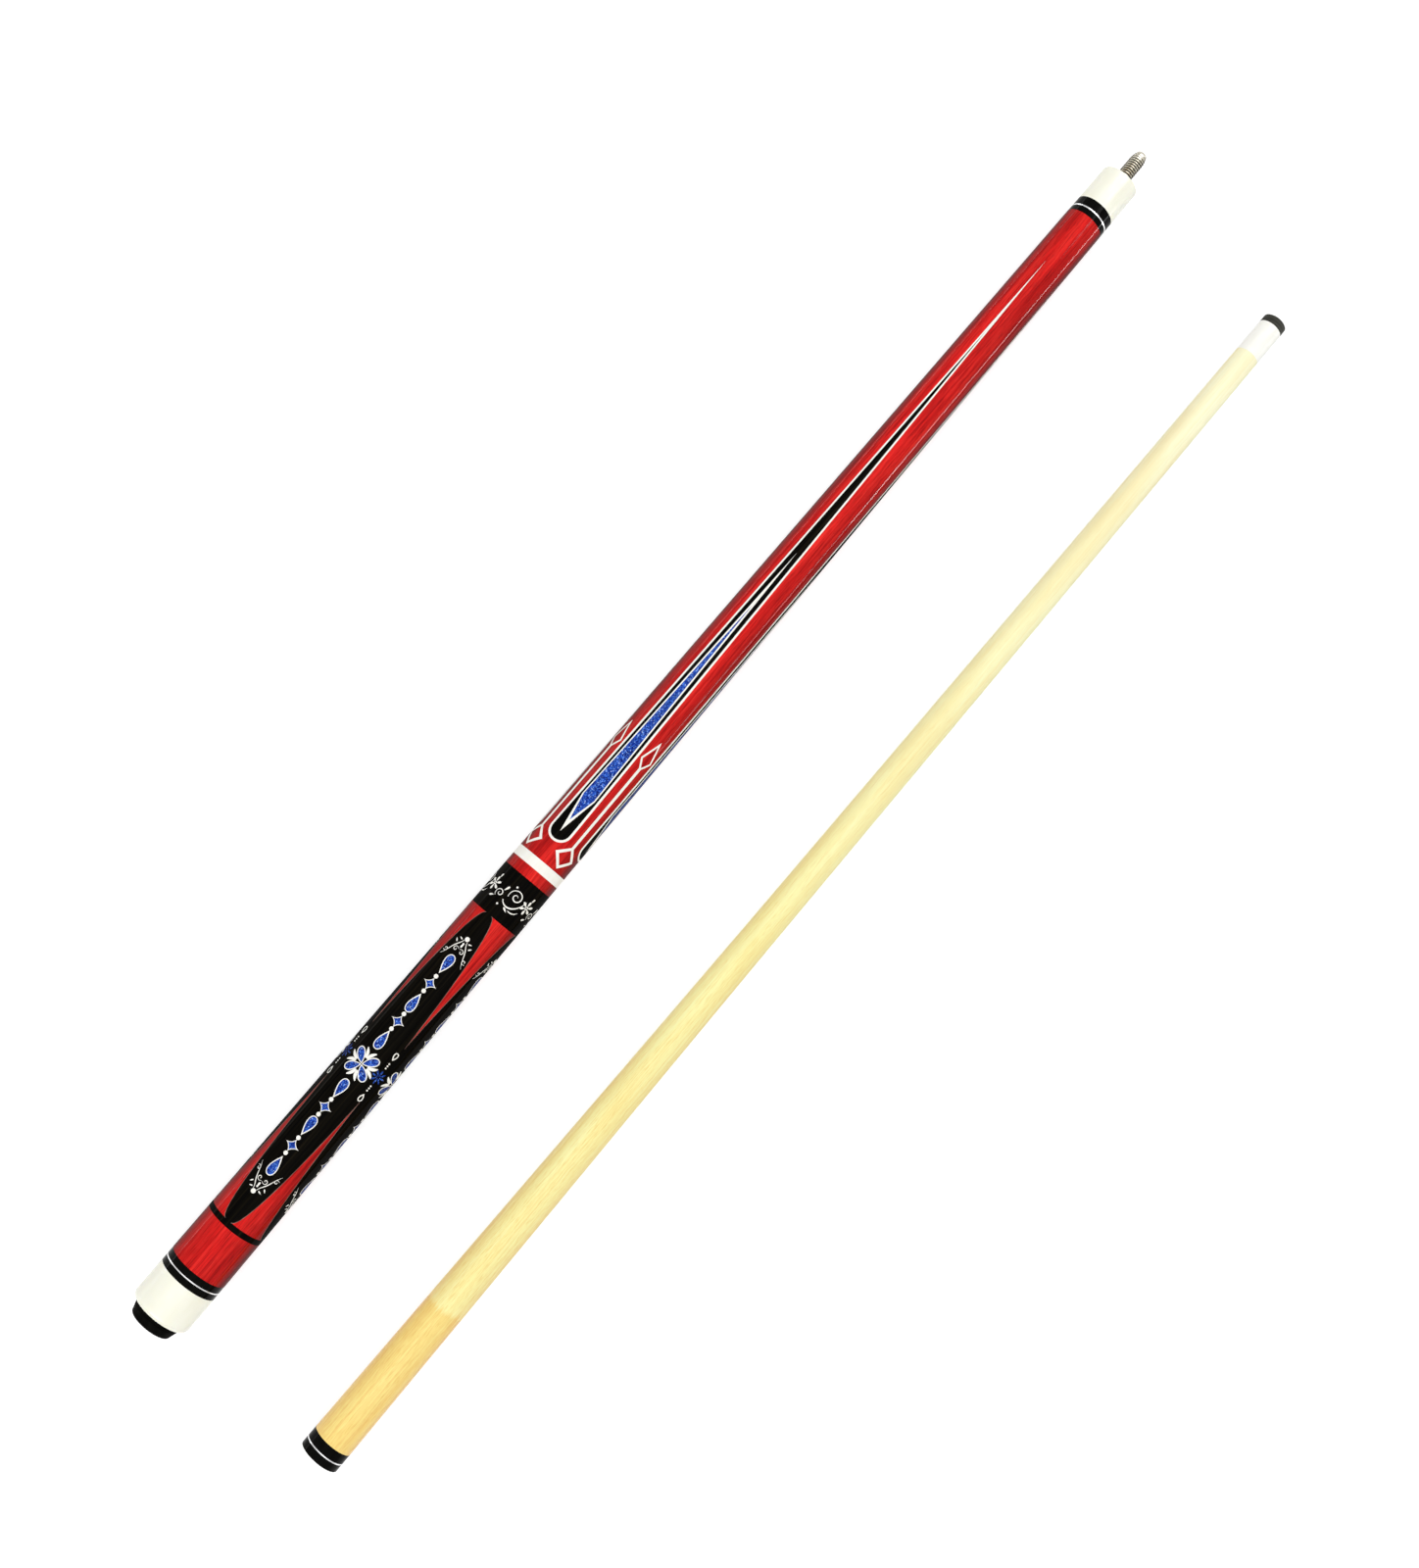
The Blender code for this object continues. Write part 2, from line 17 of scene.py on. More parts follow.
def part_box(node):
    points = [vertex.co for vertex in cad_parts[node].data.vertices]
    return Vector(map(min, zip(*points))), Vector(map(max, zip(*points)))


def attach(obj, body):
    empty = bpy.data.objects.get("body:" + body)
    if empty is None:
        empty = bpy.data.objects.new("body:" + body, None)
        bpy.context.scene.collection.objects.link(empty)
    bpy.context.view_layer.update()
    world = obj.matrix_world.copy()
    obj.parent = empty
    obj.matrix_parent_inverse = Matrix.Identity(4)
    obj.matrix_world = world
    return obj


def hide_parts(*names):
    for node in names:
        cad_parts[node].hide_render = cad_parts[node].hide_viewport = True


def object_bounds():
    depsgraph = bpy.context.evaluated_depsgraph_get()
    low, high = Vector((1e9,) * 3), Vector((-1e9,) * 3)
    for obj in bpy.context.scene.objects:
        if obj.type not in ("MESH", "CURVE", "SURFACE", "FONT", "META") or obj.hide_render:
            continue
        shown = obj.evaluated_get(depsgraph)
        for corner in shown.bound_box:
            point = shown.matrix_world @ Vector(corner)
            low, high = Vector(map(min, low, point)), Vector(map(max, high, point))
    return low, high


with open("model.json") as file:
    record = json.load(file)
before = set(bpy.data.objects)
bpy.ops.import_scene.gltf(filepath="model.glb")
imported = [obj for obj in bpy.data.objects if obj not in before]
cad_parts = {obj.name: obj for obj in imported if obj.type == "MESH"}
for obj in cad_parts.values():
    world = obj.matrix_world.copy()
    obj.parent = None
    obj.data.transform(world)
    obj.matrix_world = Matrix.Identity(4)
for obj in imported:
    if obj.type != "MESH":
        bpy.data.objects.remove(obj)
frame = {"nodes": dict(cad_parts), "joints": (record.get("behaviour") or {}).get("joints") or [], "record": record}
cad_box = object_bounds()

MM = 0.001
TURN_STEPS = 128
THREAD_STEPS = 48
SHAFT_STEPS = 60
MERGE_DISTANCE = 0.0001
SHARP_ANGLE = math.radians(30)
ROUND_AXIS = {"cent": (0.0, 0.0, 0.0), "axis": (1.0, 0.0, 0.0)}

# Sizes of the two halves, in millimetres
BUTT_LENGTH = 736.6
BUTT_RADIUS = 15.8
JOINT_RADIUS = 10.65
LACQUER = 0.07
STAIN_DEPTH = 9.9
SHAFT_LENGTH = 736.6
TIP_RADIUS = 6.5
WAIST_AT = 300.0
WAIST_RADIUS = 8.05
WAIST_BLEND = 0.5
FERRULE_AT = 710.8
TIP_AT = 730.1

# Stations of the butt's seams, in millimetres
CAP_END = 20.7
REAR_LINE = (24.1, 24.7)
SLEEVE = (28.3, 53.4)
HANDLE = (56.4, 242.4)
RED_RING = (267.1, 272.8)
FOREARM = (278.2, 706.1)
JOINT_LINE = (709.45, 710.15)
COLLAR_AT = 715.3

# Stations of the shaft's seams, in millimetres
SHAFT_LINE = (4.3, 4.9)
SHAFT_WOOD_AT = 10.0
LACQUER_END = 90.4

# Bores, tenons and threaded pieces, in millimetres
REAR_TENON = 11.0
FRONT_TENON = 10.0
JOINT_TENON = 7.0
SHAFT_TENON = 8.0
FERRULE_TENON = 4.2
CAP_WALL = 4.0
CAP_EDGE = 3.0
COLLAR_EDGE = 0.5
FIT = 0.3
FACE_GAP = 0.1
PLUG_BORE = 7.6
PLUG_BORE_END = 16.3
WEIGHT_BORE = 6.65
WEIGHT_BORE_END = 71.6
SCREW_BORE = 5.065
SCREW_REACH = 30.3
PIN_RADIUS = 3.97
PIN_REACH = 18.97
PIN_ROOT = 46.0
PIN_NOSE = 5.5
PIN_NOSE_RADIUS = 2.7
THREAD_PITCH = 1.41
THREAD_DEPTH = 0.7
INSERT_RADIUS = 6.0
INSERT_LENGTH = 28.0
INSERT_MOUTH = 0.4
PIN_RUNOUT = 3.0
FERRULE_WALL = 3.4
TIP_DOME_RADIUS = 10.6

# Share of the clear coat over the woods and inlays
GLOSS = 0.24
BLACK_GLOSS = 0.07


def butt_radius(station):
    """One straight taper from the butt's rear end to its joint face, less the lacquer over the wood."""
    return BUTT_RADIUS + (JOINT_RADIUS - BUTT_RADIUS) * station / BUTT_LENGTH - LACQUER


def shaft_radius(station):
    """Two straight tapers that blend into each other at the waist."""
    quick = (JOINT_RADIUS - WAIST_RADIUS) / WAIST_AT
    slow = (WAIST_RADIUS - TIP_RADIUS) / (FERRULE_AT - WAIST_AT)
    rear = WAIST_RADIUS - quick * (station - WAIST_AT)
    front = WAIST_RADIUS - slow * (station - WAIST_AT)
    return (rear + front + math.hypot(rear - front, WAIST_BLEND / 2)) / 2


class Half:
    """One half of the cue: its body, its radius along it, and its matrix to the frame."""

    def __init__(self, body, rear, along, radius_at):
        side = Vector((0.0, 0.0, 1.0)).cross(along).normalized()
        top = along.cross(side)
        self.body = body
        self.rear = rear
        self.radius_at = radius_at
        turn = Matrix((along, side, top)).transposed().to_4x4()
        self.matrix = Matrix.Translation(rear) @ turn @ Matrix.Scale(MM, 4)


def find_halves():
    """Both halves, from the joints and mounts that the frame states."""
    joints = {joint["name"]: joint for joint in frame["joints"]}
    mounts = {mount["name"]: mount for mount in frame["record"]["mounts"]}
    butt_along = -Vector(joints["bumper_pull"]["axis"]).normalized()
    pin_low, pin_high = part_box("joint_pin")
    joint_face = Vector(mounts["butt_joint_face"]["pos_m"])
    joint_face.y = (pin_low.y + pin_high.y) / 2
    butt_rear = joint_face - butt_along * BUTT_LENGTH * MM
    shaft_along = Vector(joints["shaft_turn"]["axis"]).normalized()
    shaft_rear = Vector(joints["shaft_turn"]["pos_m"])
    butt = Half("butt", butt_rear, butt_along, butt_radius)
    shaft = Half("shaft", shaft_rear, shaft_along, shaft_radius)
    return butt, shaft


BUTT, SHAFT = find_halves()


class Recipe:
    """A material with its Principled shader, and short calls for the nodes that feed it."""

    def __init__(self, name, half, **sockets):
        self.material = bpy.data.materials.new(name)
        self.material.use_nodes = True
        self.tree = self.material.node_tree
        self.shader = self.tree.nodes["Principled BSDF"]
        for socket, value in sockets.items():
            self.shader.inputs[socket.replace("_", " ")].default_value = value
        self.place = self.along(half)

    def node(self, kind, settings=None, **inputs):
        made = self.tree.nodes.new("ShaderNode" + kind)
        for setting, value in (settings or {}).items():
            setattr(made, setting, value)
        for socket, value in inputs.items():
            self.set(made.inputs[socket.replace("_", " ")], value)
        return made

    def set(self, socket, value):
        if isinstance(value, bpy.types.NodeSocket):
            self.tree.links.new(value, socket)
        else:
            socket.default_value = value

    def along(self, half):
        """Object coordinates turned onto a half's axis, in millimetres: X runs along the half."""
        coordinates = self.node("TexCoord")
        mapping = self.node("Mapping", {"vector_type": "TEXTURE"}, Vector=coordinates.outputs["Object"])
        mapping.inputs["Location"].default_value = half.rear
        mapping.inputs["Rotation"].default_value = half.matrix.to_euler()
        mapping.inputs["Scale"].default_value = (MM, MM, MM)
        return mapping.outputs["Vector"]

    def stretched(self, along, across):
        """The place with its pattern stretched to these lengths in millimetres."""
        scale = (1 / along, 1 / across, 1 / across)
        mapping = self.node("Mapping", {"vector_type": "POINT"}, Vector=self.place, Scale=scale)
        return mapping.outputs["Vector"]

    def noise(self, along, across, detail=3.0, roughness=0.55):
        """Noise whose grains are about this long and wide, in millimetres."""
        vector = self.stretched(along, across)
        made = self.node("TexNoise", None, Vector=vector, Scale=1.0, Detail=detail, Roughness=roughness)
        return made.outputs["Fac"]

    def flakes(self, size):
        """A chance value from 0 to 1 for each flake of this size in millimetres."""
        vector = self.stretched(size, size)
        colour = self.node("TexVoronoi", None, Vector=vector, Scale=1.0).outputs["Color"]
        return self.node("SeparateColor", None, Color=colour).outputs["Red"]

    def station(self):
        return self.node("SeparateXYZ", None, Vector=self.place).outputs["X"]

    def across(self):
        """The place as seen along the axis, with its length as its distance from the axis."""
        flat = self.node("VectorMath", {"operation": "MULTIPLY"}, Vector=self.place)
        flat.inputs[1].default_value = (0.0, 1.0, 1.0)
        return flat.outputs["Vector"]

    def depth(self):
        """The distance from the axis, in millimetres."""
        return self.node("VectorMath", {"operation": "LENGTH"}, Vector=self.across()).outputs["Value"]

    def facing(self):
        """1 on the top and bottom of a half, and 0 on its two sides."""
        unit = self.node("VectorMath", {"operation": "NORMALIZE"}, Vector=self.across())
        height = self.node("SeparateXYZ", None, Vector=unit.outputs["Vector"]).outputs["Z"]
        return self.node("Math", {"operation": "ABSOLUTE"}, Value=height).outputs["Value"]

    def ramp(self, factor, *stops):
        """Colours at places from 0 to 1, blended between them."""
        made = self.node("ValToRGB", None, Fac=factor)
        elements = made.color_ramp.elements
        while len(elements) < len(stops):
            elements.new(0.5)
        for element, (place, colour) in zip(elements, stops):
            element.position = place
            element.color = (*colour, 1.0)
        return made.outputs["Color"]

    def mix(self, factor, first, second, blend="MIX"):
        made = self.node("Mix", {"data_type": "RGBA", "blend_type": blend})
        for index, value in ((0, factor), (6, first), (7, second)):
            self.set(made.inputs[index], value)
        return made.outputs[2]

    def shaded(self, share, colour, factor, dark, low, high):
        """A colour darkened to a tint where a factor is low, and left as it is where it is high."""
        tint = self.ramp(factor, (low, dark), (high, (1.0, 1.0, 1.0)))
        return self.mix(share, colour, tint, "MULTIPLY")

    def fit(self, value, low, high, to_low=0.0, to_high=1.0):
        """A value brought from one range to another, and held at its ends."""
        made = self.node("MapRange", None, Value=value)
        for socket, number in zip(list(made.inputs)[1:5], (low, high, to_low, to_high)):
            socket.default_value = number
        return made.outputs["Result"]

    def bump(self, height, depth, socket="Normal"):
        """A relief of this depth in millimetres."""
        made = self.node("Bump", None, Height=height, Distance=depth * MM, Strength=1.0)
        self.tree.links.new(made.outputs["Normal"], self.shader.inputs[socket])

    def lacquer(self, weight):
        """A clear high-gloss coat with the slight waviness of a sprayed and buffed finish."""
        self.shader.inputs["Coat Weight"].default_value = weight
        self.shader.inputs["Coat Roughness"].default_value = 0.03
        self.bump(self.noise(60.0, 5.0, detail=1.0), 0.012, "Coat Normal")

    def feed(self, **sockets):
        for socket, value in sockets.items():
            self.tree.links.new(value, self.shader.inputs[socket.replace("_", " ")])
        return self.material


def lacquered(name, half, roughness, gloss=GLOSS):
    """A recipe for what lies under the lacquer, where only the lacquer reflects."""
    recipe = Recipe(name, half, Roughness=roughness, Specular_IOR_Level=0.0)
    recipe.lacquer(gloss)
    return recipe


def red_wood(name, half):
    """Maple stained red near its surface: long streaks, fine pores, and painted shade that darkens its two sides.
    """
    recipe = lacquered(name, half, 0.45)
    streaks = recipe.noise(55.0, 1.4, detail=5.0, roughness=0.62)
    depth = recipe.noise(120.0, 7.0, detail=2.0)
    pores = recipe.noise(8.0, 0.36, detail=3.0)
    stops = ((0.3, (0.46, 0.004, 0.005)), (0.48, (0.78, 0.013, 0.011)), (0.66, (0.92, 0.03, 0.022)))
    wood = recipe.ramp(streaks, *stops)
    wood = recipe.shaded(0.7, wood, depth, (0.62, 0.5, 0.55), 0.35, 0.6)
    wood = recipe.shaded(0.5, wood, pores, (0.2, 0.16, 0.18), 0.34, 0.5)
    # Painted shade: the red darkens towards the two sides of the half, where the light falls off.
    wood = recipe.shaded(1.0, wood, recipe.facing(), (0.2, 0.22, 0.32), 0.3, 0.98)
    bare = recipe.ramp(pores, (0.34, (0.52, 0.33, 0.15)), (0.6, (0.78, 0.57, 0.31)))
    wood = recipe.mix(recipe.fit(recipe.depth(), STAIN_DEPTH - 0.4, STAIN_DEPTH), bare, wood)
    return recipe.feed(Base_Color=wood)


def black_wood(name, half):
    """Maple stained black, with faint brown streaks where the stain is thin."""
    recipe = lacquered(name, half, 0.5, BLACK_GLOSS)
    streaks = recipe.noise(130.0, 1.3, detail=5.0, roughness=0.6)
    pores = recipe.noise(14.0, 0.4, detail=2.0)
    stops = ((0.42, (0.0012, 0.001, 0.0008)), (0.58, (0.0038, 0.003, 0.0016)), (0.72, (0.015, 0.011, 0.005)))
    wood = recipe.ramp(streaks, *stops)
    wood = recipe.shaded(0.6, wood, pores, (0.3, 0.3, 0.3), 0.34, 0.5)
    return recipe.feed(Base_Color=wood)


def white_inlay(name, half):
    """Cream-white inlay under the lacquer."""
    recipe = lacquered(name, half, 0.4)
    tint = recipe.noise(14.0, 2.0)
    colour = recipe.ramp(tint, (0.35, (0.93, 0.91, 0.83)), (0.62, (0.96, 0.95, 0.9)))
    return recipe.feed(Base_Color=colour)


def grey_veneer(name, half):
    """The thin grey-brown veneer along the handle's points."""
    recipe = lacquered(name, half, 0.45)
    grain = recipe.noise(30.0, 0.5)
    colour = recipe.ramp(grain, (0.32, (0.1, 0.05, 0.04)), (0.66, (0.28, 0.17, 0.14)))
    return recipe.feed(Base_Color=colour)


def blue_pearl(name, half):
    """Blue flake inlay: small flakes of unlike brightness, with clouds of lighter blue."""
    recipe = lacquered(name, half, 0.35)
    spark = recipe.flakes(0.42)
    chips = recipe.flakes(1.2)
    cloud = recipe.noise(8.0, 3.0)
    flakes = recipe.ramp(
        spark,
        (0.0, (0.002, 0.005, 0.1)),
        (0.5, (0.012, 0.062, 0.5)),
        (0.8, (0.045, 0.18, 0.78)),
        (0.92, (0.13, 0.34, 0.88)),
        (1.0, (0.55, 0.72, 1.0)),
    )
    colour = recipe.mix(recipe.fit(cloud, 0.5, 0.75, 0.0, 0.3), flakes, (0.045, 0.17, 0.62, 1.0))
    colour = recipe.shaded(0.85, colour, chips, (0.3, 0.33, 0.48), 0.1, 0.75)
    # Painted shade: the blue darkens towards the two sides of the half.
    colour = recipe.shaded(1.0, colour, recipe.facing(), (0.3, 0.32, 0.4), 0.35, 0.95)
    return recipe.feed(Base_Color=colour)


def ivory_plastic(name, half):
    """Polished ivory-white plastic with a very faint cloud in it."""
    recipe = Recipe(name, half, Specular_IOR_Level=0.35, Subsurface_Weight=0.1, Subsurface_Scale=0.001)
    recipe.shader.inputs["Subsurface Radius"].default_value = (1.0, 0.8, 0.5)
    cloud = recipe.noise(22.0, 7.0)
    scuffs = recipe.noise(3.0, 0.5)
    colour = recipe.ramp(cloud, (0.32, (0.93, 0.92, 0.77)), (0.66, (0.96, 0.955, 0.83)))
    shine = recipe.fit(scuffs, 0.3, 0.75, 0.14, 0.26)
    recipe.bump(cloud, 0.02)
    return recipe.feed(Base_Color=colour, Roughness=shine)


def black_phenolic(name, half):
    """Polished black resin."""
    recipe = Recipe(name, half, Specular_IOR_Level=0.04)
    cloud = recipe.noise(6.0, 2.5)
    colour = recipe.ramp(cloud, (0.3, (0.0012, 0.0012, 0.001)), (0.7, (0.004, 0.0038, 0.003)))
    shine = recipe.fit(cloud, 0.3, 0.7, 0.06, 0.11)
    recipe.bump(recipe.noise(42.0, 4.0, detail=2.0), 0.02)
    return recipe.feed(Base_Color=colour, Roughness=shine)


def silver_ring(name, half):
    """Bright metal ring, with fine marks of the lathe round it."""
    recipe = Recipe(name, half, Metallic=1.0)
    marks = recipe.noise(0.08, 40.0, detail=2.0)
    colour = recipe.ramp(marks, (0.3, (0.8, 0.8, 0.81)), (0.7, (0.95, 0.95, 0.95)))
    shine = recipe.fit(marks, 0.3, 0.7, 0.24, 0.38)
    return recipe.feed(Base_Color=colour, Roughness=shine)


def rubber(name, half):
    """Matt black moulded rubber with a fine grain and a little dust in it."""
    recipe = Recipe(name, half, Specular_IOR_Level=0.02)
    grain = recipe.noise(0.5, 0.5, detail=4.0)
    dust = recipe.noise(5.0, 4.0, detail=4.0)
    colour = recipe.ramp(dust, (0.38, (0.001, 0.001, 0.0008)), (0.72, (0.0045, 0.0042, 0.0032)))
    shine = recipe.fit(grain, 0.3, 0.7, 0.55, 0.78)
    recipe.bump(grain, 0.05)
    return recipe.feed(Base_Color=colour, Roughness=shine)


def turned_metal(name, half, dull, bright, crests=False):
    """Machined metal with turning marks and stains. On a thread, painted shade darkens the valleys below its
    crests and its two sides.
    """
    recipe = Recipe(name, half, Metallic=1.0)
    marks = recipe.noise(0.12, 6.0)
    stain = recipe.noise(3.0, 1.4, detail=4.0)
    colour = recipe.ramp(stain, (0.3, dull), (0.68, bright))
    if crests:
        # Painted shade in the thread's valleys: the crest mark darkens the roots and leaves the crests at full
        # colour.
        crest = recipe.node("Attribute", {"attribute_name": "crest"}).outputs["Fac"]
        colour = recipe.shaded(1.0, colour, crest, (0.012, 0.01, 0.007), 0.15, 0.8)
        # Painted shade on the two sides of the half.
        colour = recipe.shaded(1.0, colour, recipe.facing(), (0.12, 0.11, 0.09), 0.35, 0.9)
    shine = recipe.fit(marks, 0.3, 0.7, 0.2, 0.36)
    recipe.bump(marks, 0.01)
    return recipe.feed(Base_Color=colour, Roughness=shine)


def maple(name, half):
    """Clear maple: golden under the lacquer near the joint, and paler and waxed towards the tip."""
    recipe = Recipe(name, half, Specular_IOR_Level=0.2)
    streaks = recipe.noise(70.0, 0.9, detail=5.0, roughness=0.6)
    flecks = recipe.noise(5.0, 0.35, detail=2.0)
    bands = recipe.noise(80.0, 8.0, detail=3.0)
    teeth = recipe.noise(40.0, 1.5, detail=4.0)
    ragged = recipe.node("Math", {"operation": "MULTIPLY_ADD"}, Value=teeth)
    ragged.inputs[1].default_value = 9.0
    recipe.set(ragged.inputs[2], recipe.station())
    station = ragged.outputs["Value"]
    stops = ((0.3, (0.9, 0.64, 0.22)), (0.5, (0.95, 0.76, 0.27)), (0.68, (0.97, 0.84, 0.33)))
    golden = recipe.ramp(streaks, *stops)
    stops = ((0.3, (0.94, 0.84, 0.38)), (0.5, (0.97, 0.93, 0.44)), (0.68, (0.98, 0.96, 0.51)))
    clear = recipe.ramp(streaks, *stops)
    pale = recipe.ramp(streaks, (0.3, (0.95, 0.91, 0.57)), (0.62, (0.97, 0.96, 0.68)))
    waxed = recipe.mix(recipe.fit(station, 330.0, 680.0), clear, pale)
    warm = recipe.fit(station, LACQUER_END + 4, LACQUER_END + 60, 0.0, 0.22)
    warm_front = recipe.fit(station, LACQUER_END + 60, LACQUER_END + 260, 1.0, 0.0)
    warmth = recipe.node("Math", {"operation": "MULTIPLY"}, Value=warm)
    recipe.set(warmth.inputs[1], warm_front)
    waxed = recipe.mix(warmth.outputs["Value"], waxed, golden)
    edge = recipe.fit(station, LACQUER_END + 2.5, LACQUER_END + 5.5)
    wood = recipe.mix(edge, golden, waxed)
    wood = recipe.shaded(0.7, wood, bands, (0.97, 0.87, 0.74), 0.36, 0.62)
    grain = recipe.fit(station, 120.0, 600.0, 0.6, 0.16)
    wood = recipe.shaded(grain, wood, flecks, (0.88, 0.72, 0.52), 0.32, 0.52)
    # Painted shade: towards the rear the wood turns darker and warmer on the two sides of the half, and this fades
    # out towards the front.
    front = recipe.fit(station, 100.0, 450.0)
    sides = recipe.ramp(front, (0.0, (0.97, 0.82, 0.72)), (1.0, (1.0, 1.0, 1.0)))
    wood = recipe.mix(recipe.fit(recipe.facing(), 0.4, 0.9, 1.0, 0.0), wood, sides, "MULTIPLY")
    shine = recipe.fit(edge, 0.0, 1.0, 0.2, 0.4)
    recipe.bump(flecks, 0.01)
    return recipe.feed(Base_Color=wood, Roughness=shine)


def ferrule_plastic(name, half):
    recipe = Recipe(name, half, Specular_IOR_Level=0.3)
    cloud = recipe.noise(9.0, 3.0)
    marks = recipe.noise(0.3, 8.0)
    colour = recipe.ramp(cloud, (0.32, (0.94, 0.935, 0.86)), (0.66, (0.965, 0.965, 0.91)))
    shine = recipe.fit(marks, 0.3, 0.7, 0.26, 0.42)
    recipe.bump(marks, 0.002)
    return recipe.feed(Base_Color=colour, Roughness=shine)


def pressed_leather(name, half):
    """Dark leather pressed in layers, with a fibrous face."""
    recipe = Recipe(name, half, Specular_IOR_Level=0.2)
    layers = recipe.noise(0.55, 14.0)
    fibres = recipe.noise(0.35, 0.3, detail=5.0)
    colour = recipe.ramp(layers, (0.34, (0.022, 0.022, 0.018)), (0.66, (0.075, 0.074, 0.06)))
    colour = recipe.shaded(0.7, colour, fibres, (0.5, 0.5, 0.48), 0.35, 0.7)
    shine = recipe.fit(fibres, 0.3, 0.7, 0.6, 0.85)
    recipe.bump(fibres, 0.08)
    return recipe.feed(Base_Color=colour, Roughness=shine)


def make_finishes():
    steel = ((0.5, 0.46, 0.36), (0.9, 0.86, 0.75))
    brass = ((0.5, 0.33, 0.11), (0.78, 0.57, 0.24))
    return {
        "red_wood": red_wood("red stained maple", BUTT),
        "black_wood": black_wood("black stained maple", BUTT),
        "white_inlay": white_inlay("white inlay", BUTT),
        "grey_veneer": grey_veneer("grey veneer", BUTT),
        "blue_pearl": blue_pearl("blue pearl inlay", BUTT),
        "ivory_plastic": ivory_plastic("ivory plastic", BUTT),
        "black_plastic": black_phenolic("black phenolic", BUTT),
        "silver": silver_ring("silver ring", BUTT),
        "rubber": rubber("black rubber", BUTT),
        "steel": turned_metal("turned steel", BUTT, *steel),
        "pin_steel": turned_metal("threaded steel", BUTT, *steel, crests=True),
        "maple": maple("clear maple", SHAFT),
        "shaft_black": black_phenolic("black phenolic of the shaft", SHAFT),
        "shaft_silver": silver_ring("silver ring of the shaft", SHAFT),
        "brass": turned_metal("threaded brass", SHAFT, *brass, crests=True),
        "ferrule": ferrule_plastic("white ferrule", SHAFT),
        "leather": pressed_leather("pressed leather", SHAFT),
    }


FINISH = make_finishes()


# Making pieces


def finished(name, half, shape, finish, nodes=(), body=None):
    """The shape as a piece at the origin, with its place in its mesh, riding on its body."""
    bmesh.ops.transform(shape, matrix=half.matrix, verts=shape.verts)
    bmesh.ops.recalc_face_normals(shape, faces=shape.faces)
    mesh = bpy.data.meshes.new(name)
    shape.to_mesh(mesh)
    shape.free()
    mesh.shade_smooth()
    mesh.set_sharp_from_angle(angle=SHARP_ANGLE)
    mesh.materials.append(FINISH[finish])
    piece = bpy.data.objects.new(name, mesh)
    bpy.context.scene.collection.objects.link(piece)
    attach(piece, body or half.body)
    if nodes:
        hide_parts(*nodes)
    return mesh


def spread(low, high, count):
    return [low + (high - low) * step / (count - 1) for step in range(count)]


def absorb(shape, other):
    """Adds another shape to a shape, and frees the other."""
    mesh = bpy.data.meshes.new("passing")
    other.to_mesh(mesh)
    other.free()
    shape.from_mesh(mesh)
    bpy.data.meshes.remove(mesh)


def rim_of(shape, profile):
    """The profile's points as vertices on the floor side, with the edges between them."""
    rim = [shape.verts.new((station, 0.0, -radius)) for station, radius in profile]
    return rim + [shape.edges.new(pair) for pair in zip(rim, rim[1:])]


def spun(profile):
    """A shape turned from (station, radius) points, with a UV map that unrolls it."""
    shape = bmesh.new()
    reach = shape.verts.layers.float.new("reach")
    rim = rim_of(shape, profile)
    total = 0.0
    for index, point in enumerate(profile):
        total += math.dist(point, profile[index - 1]) if index else 0.0
        rim[index][reach] = total
    bmesh.ops.spin(shape, geom=rim, steps=TURN_STEPS, angle=math.tau, use_merge=False, **ROUND_AXIS)
    unroll(shape, reach, total)
    shape.verts.layers.float.remove(reach)
    bmesh.ops.remove_doubles(shape, verts=shape.verts, dist=MERGE_DISTANCE)
    bmesh.ops.dissolve_degenerate(shape, edges=shape.edges, dist=MERGE_DISTANCE)
    return shape


def unroll(shape, reach, total):
    """A map with the profile's length one way and the turn round the axis the other way."""
    flat = shape.loops.layers.uv.new("OFBake")
    for face in shape.faces:
        places = [loop.vert.co for loop in face.loops]
        turns = [math.atan2(place.y, -place.z) / math.tau % 1.0 for place in places]
        off_axis = [math.hypot(place.y, place.z) > MERGE_DISTANCE for place in places]
        known = [turn for turn, off in zip(turns, off_axis) if off]
        wraps = max(known) - min(known) > 0.5
        for index, loop in enumerate(face.loops):
            source = index
            if not off_axis[index]:
                source = index - 1 if off_axis[index - 1] else (index + 1) % len(turns)
            turn = turns[source]
            if wraps and turn < 0.5:
                turn += 1.0
            loop[flat].uv = (loop.vert[reach] / total, turn)


def arc(station, radius, size, start, end, steps):
    """Points of a round edge, as (station, radius), from one angle to another in degrees."""
    angles = [math.radians(start + (end - start) * step / steps) for step in range(steps + 1)]
    return [(station + size * math.sin(angle), radius + size * math.cos(angle)) for angle in angles]


def turned(name, half, profile, finish, slot=None):
    """A piece turned from its profile in place of the node of this name."""
    finished(name + "_turned", half, spun(profile), finish, [name])


def ring(name, half, start, end, bore, finish, slot):
    """A ring or a sleeve over a tenon, flush with its neighbours."""
    low, high = half.radius_at(start), half.radius_at(end)
    profile = [(start, bore), (start, low), (end, high), (end, bore), (start, bore)]
    turned(name, half, profile, finish, slot)


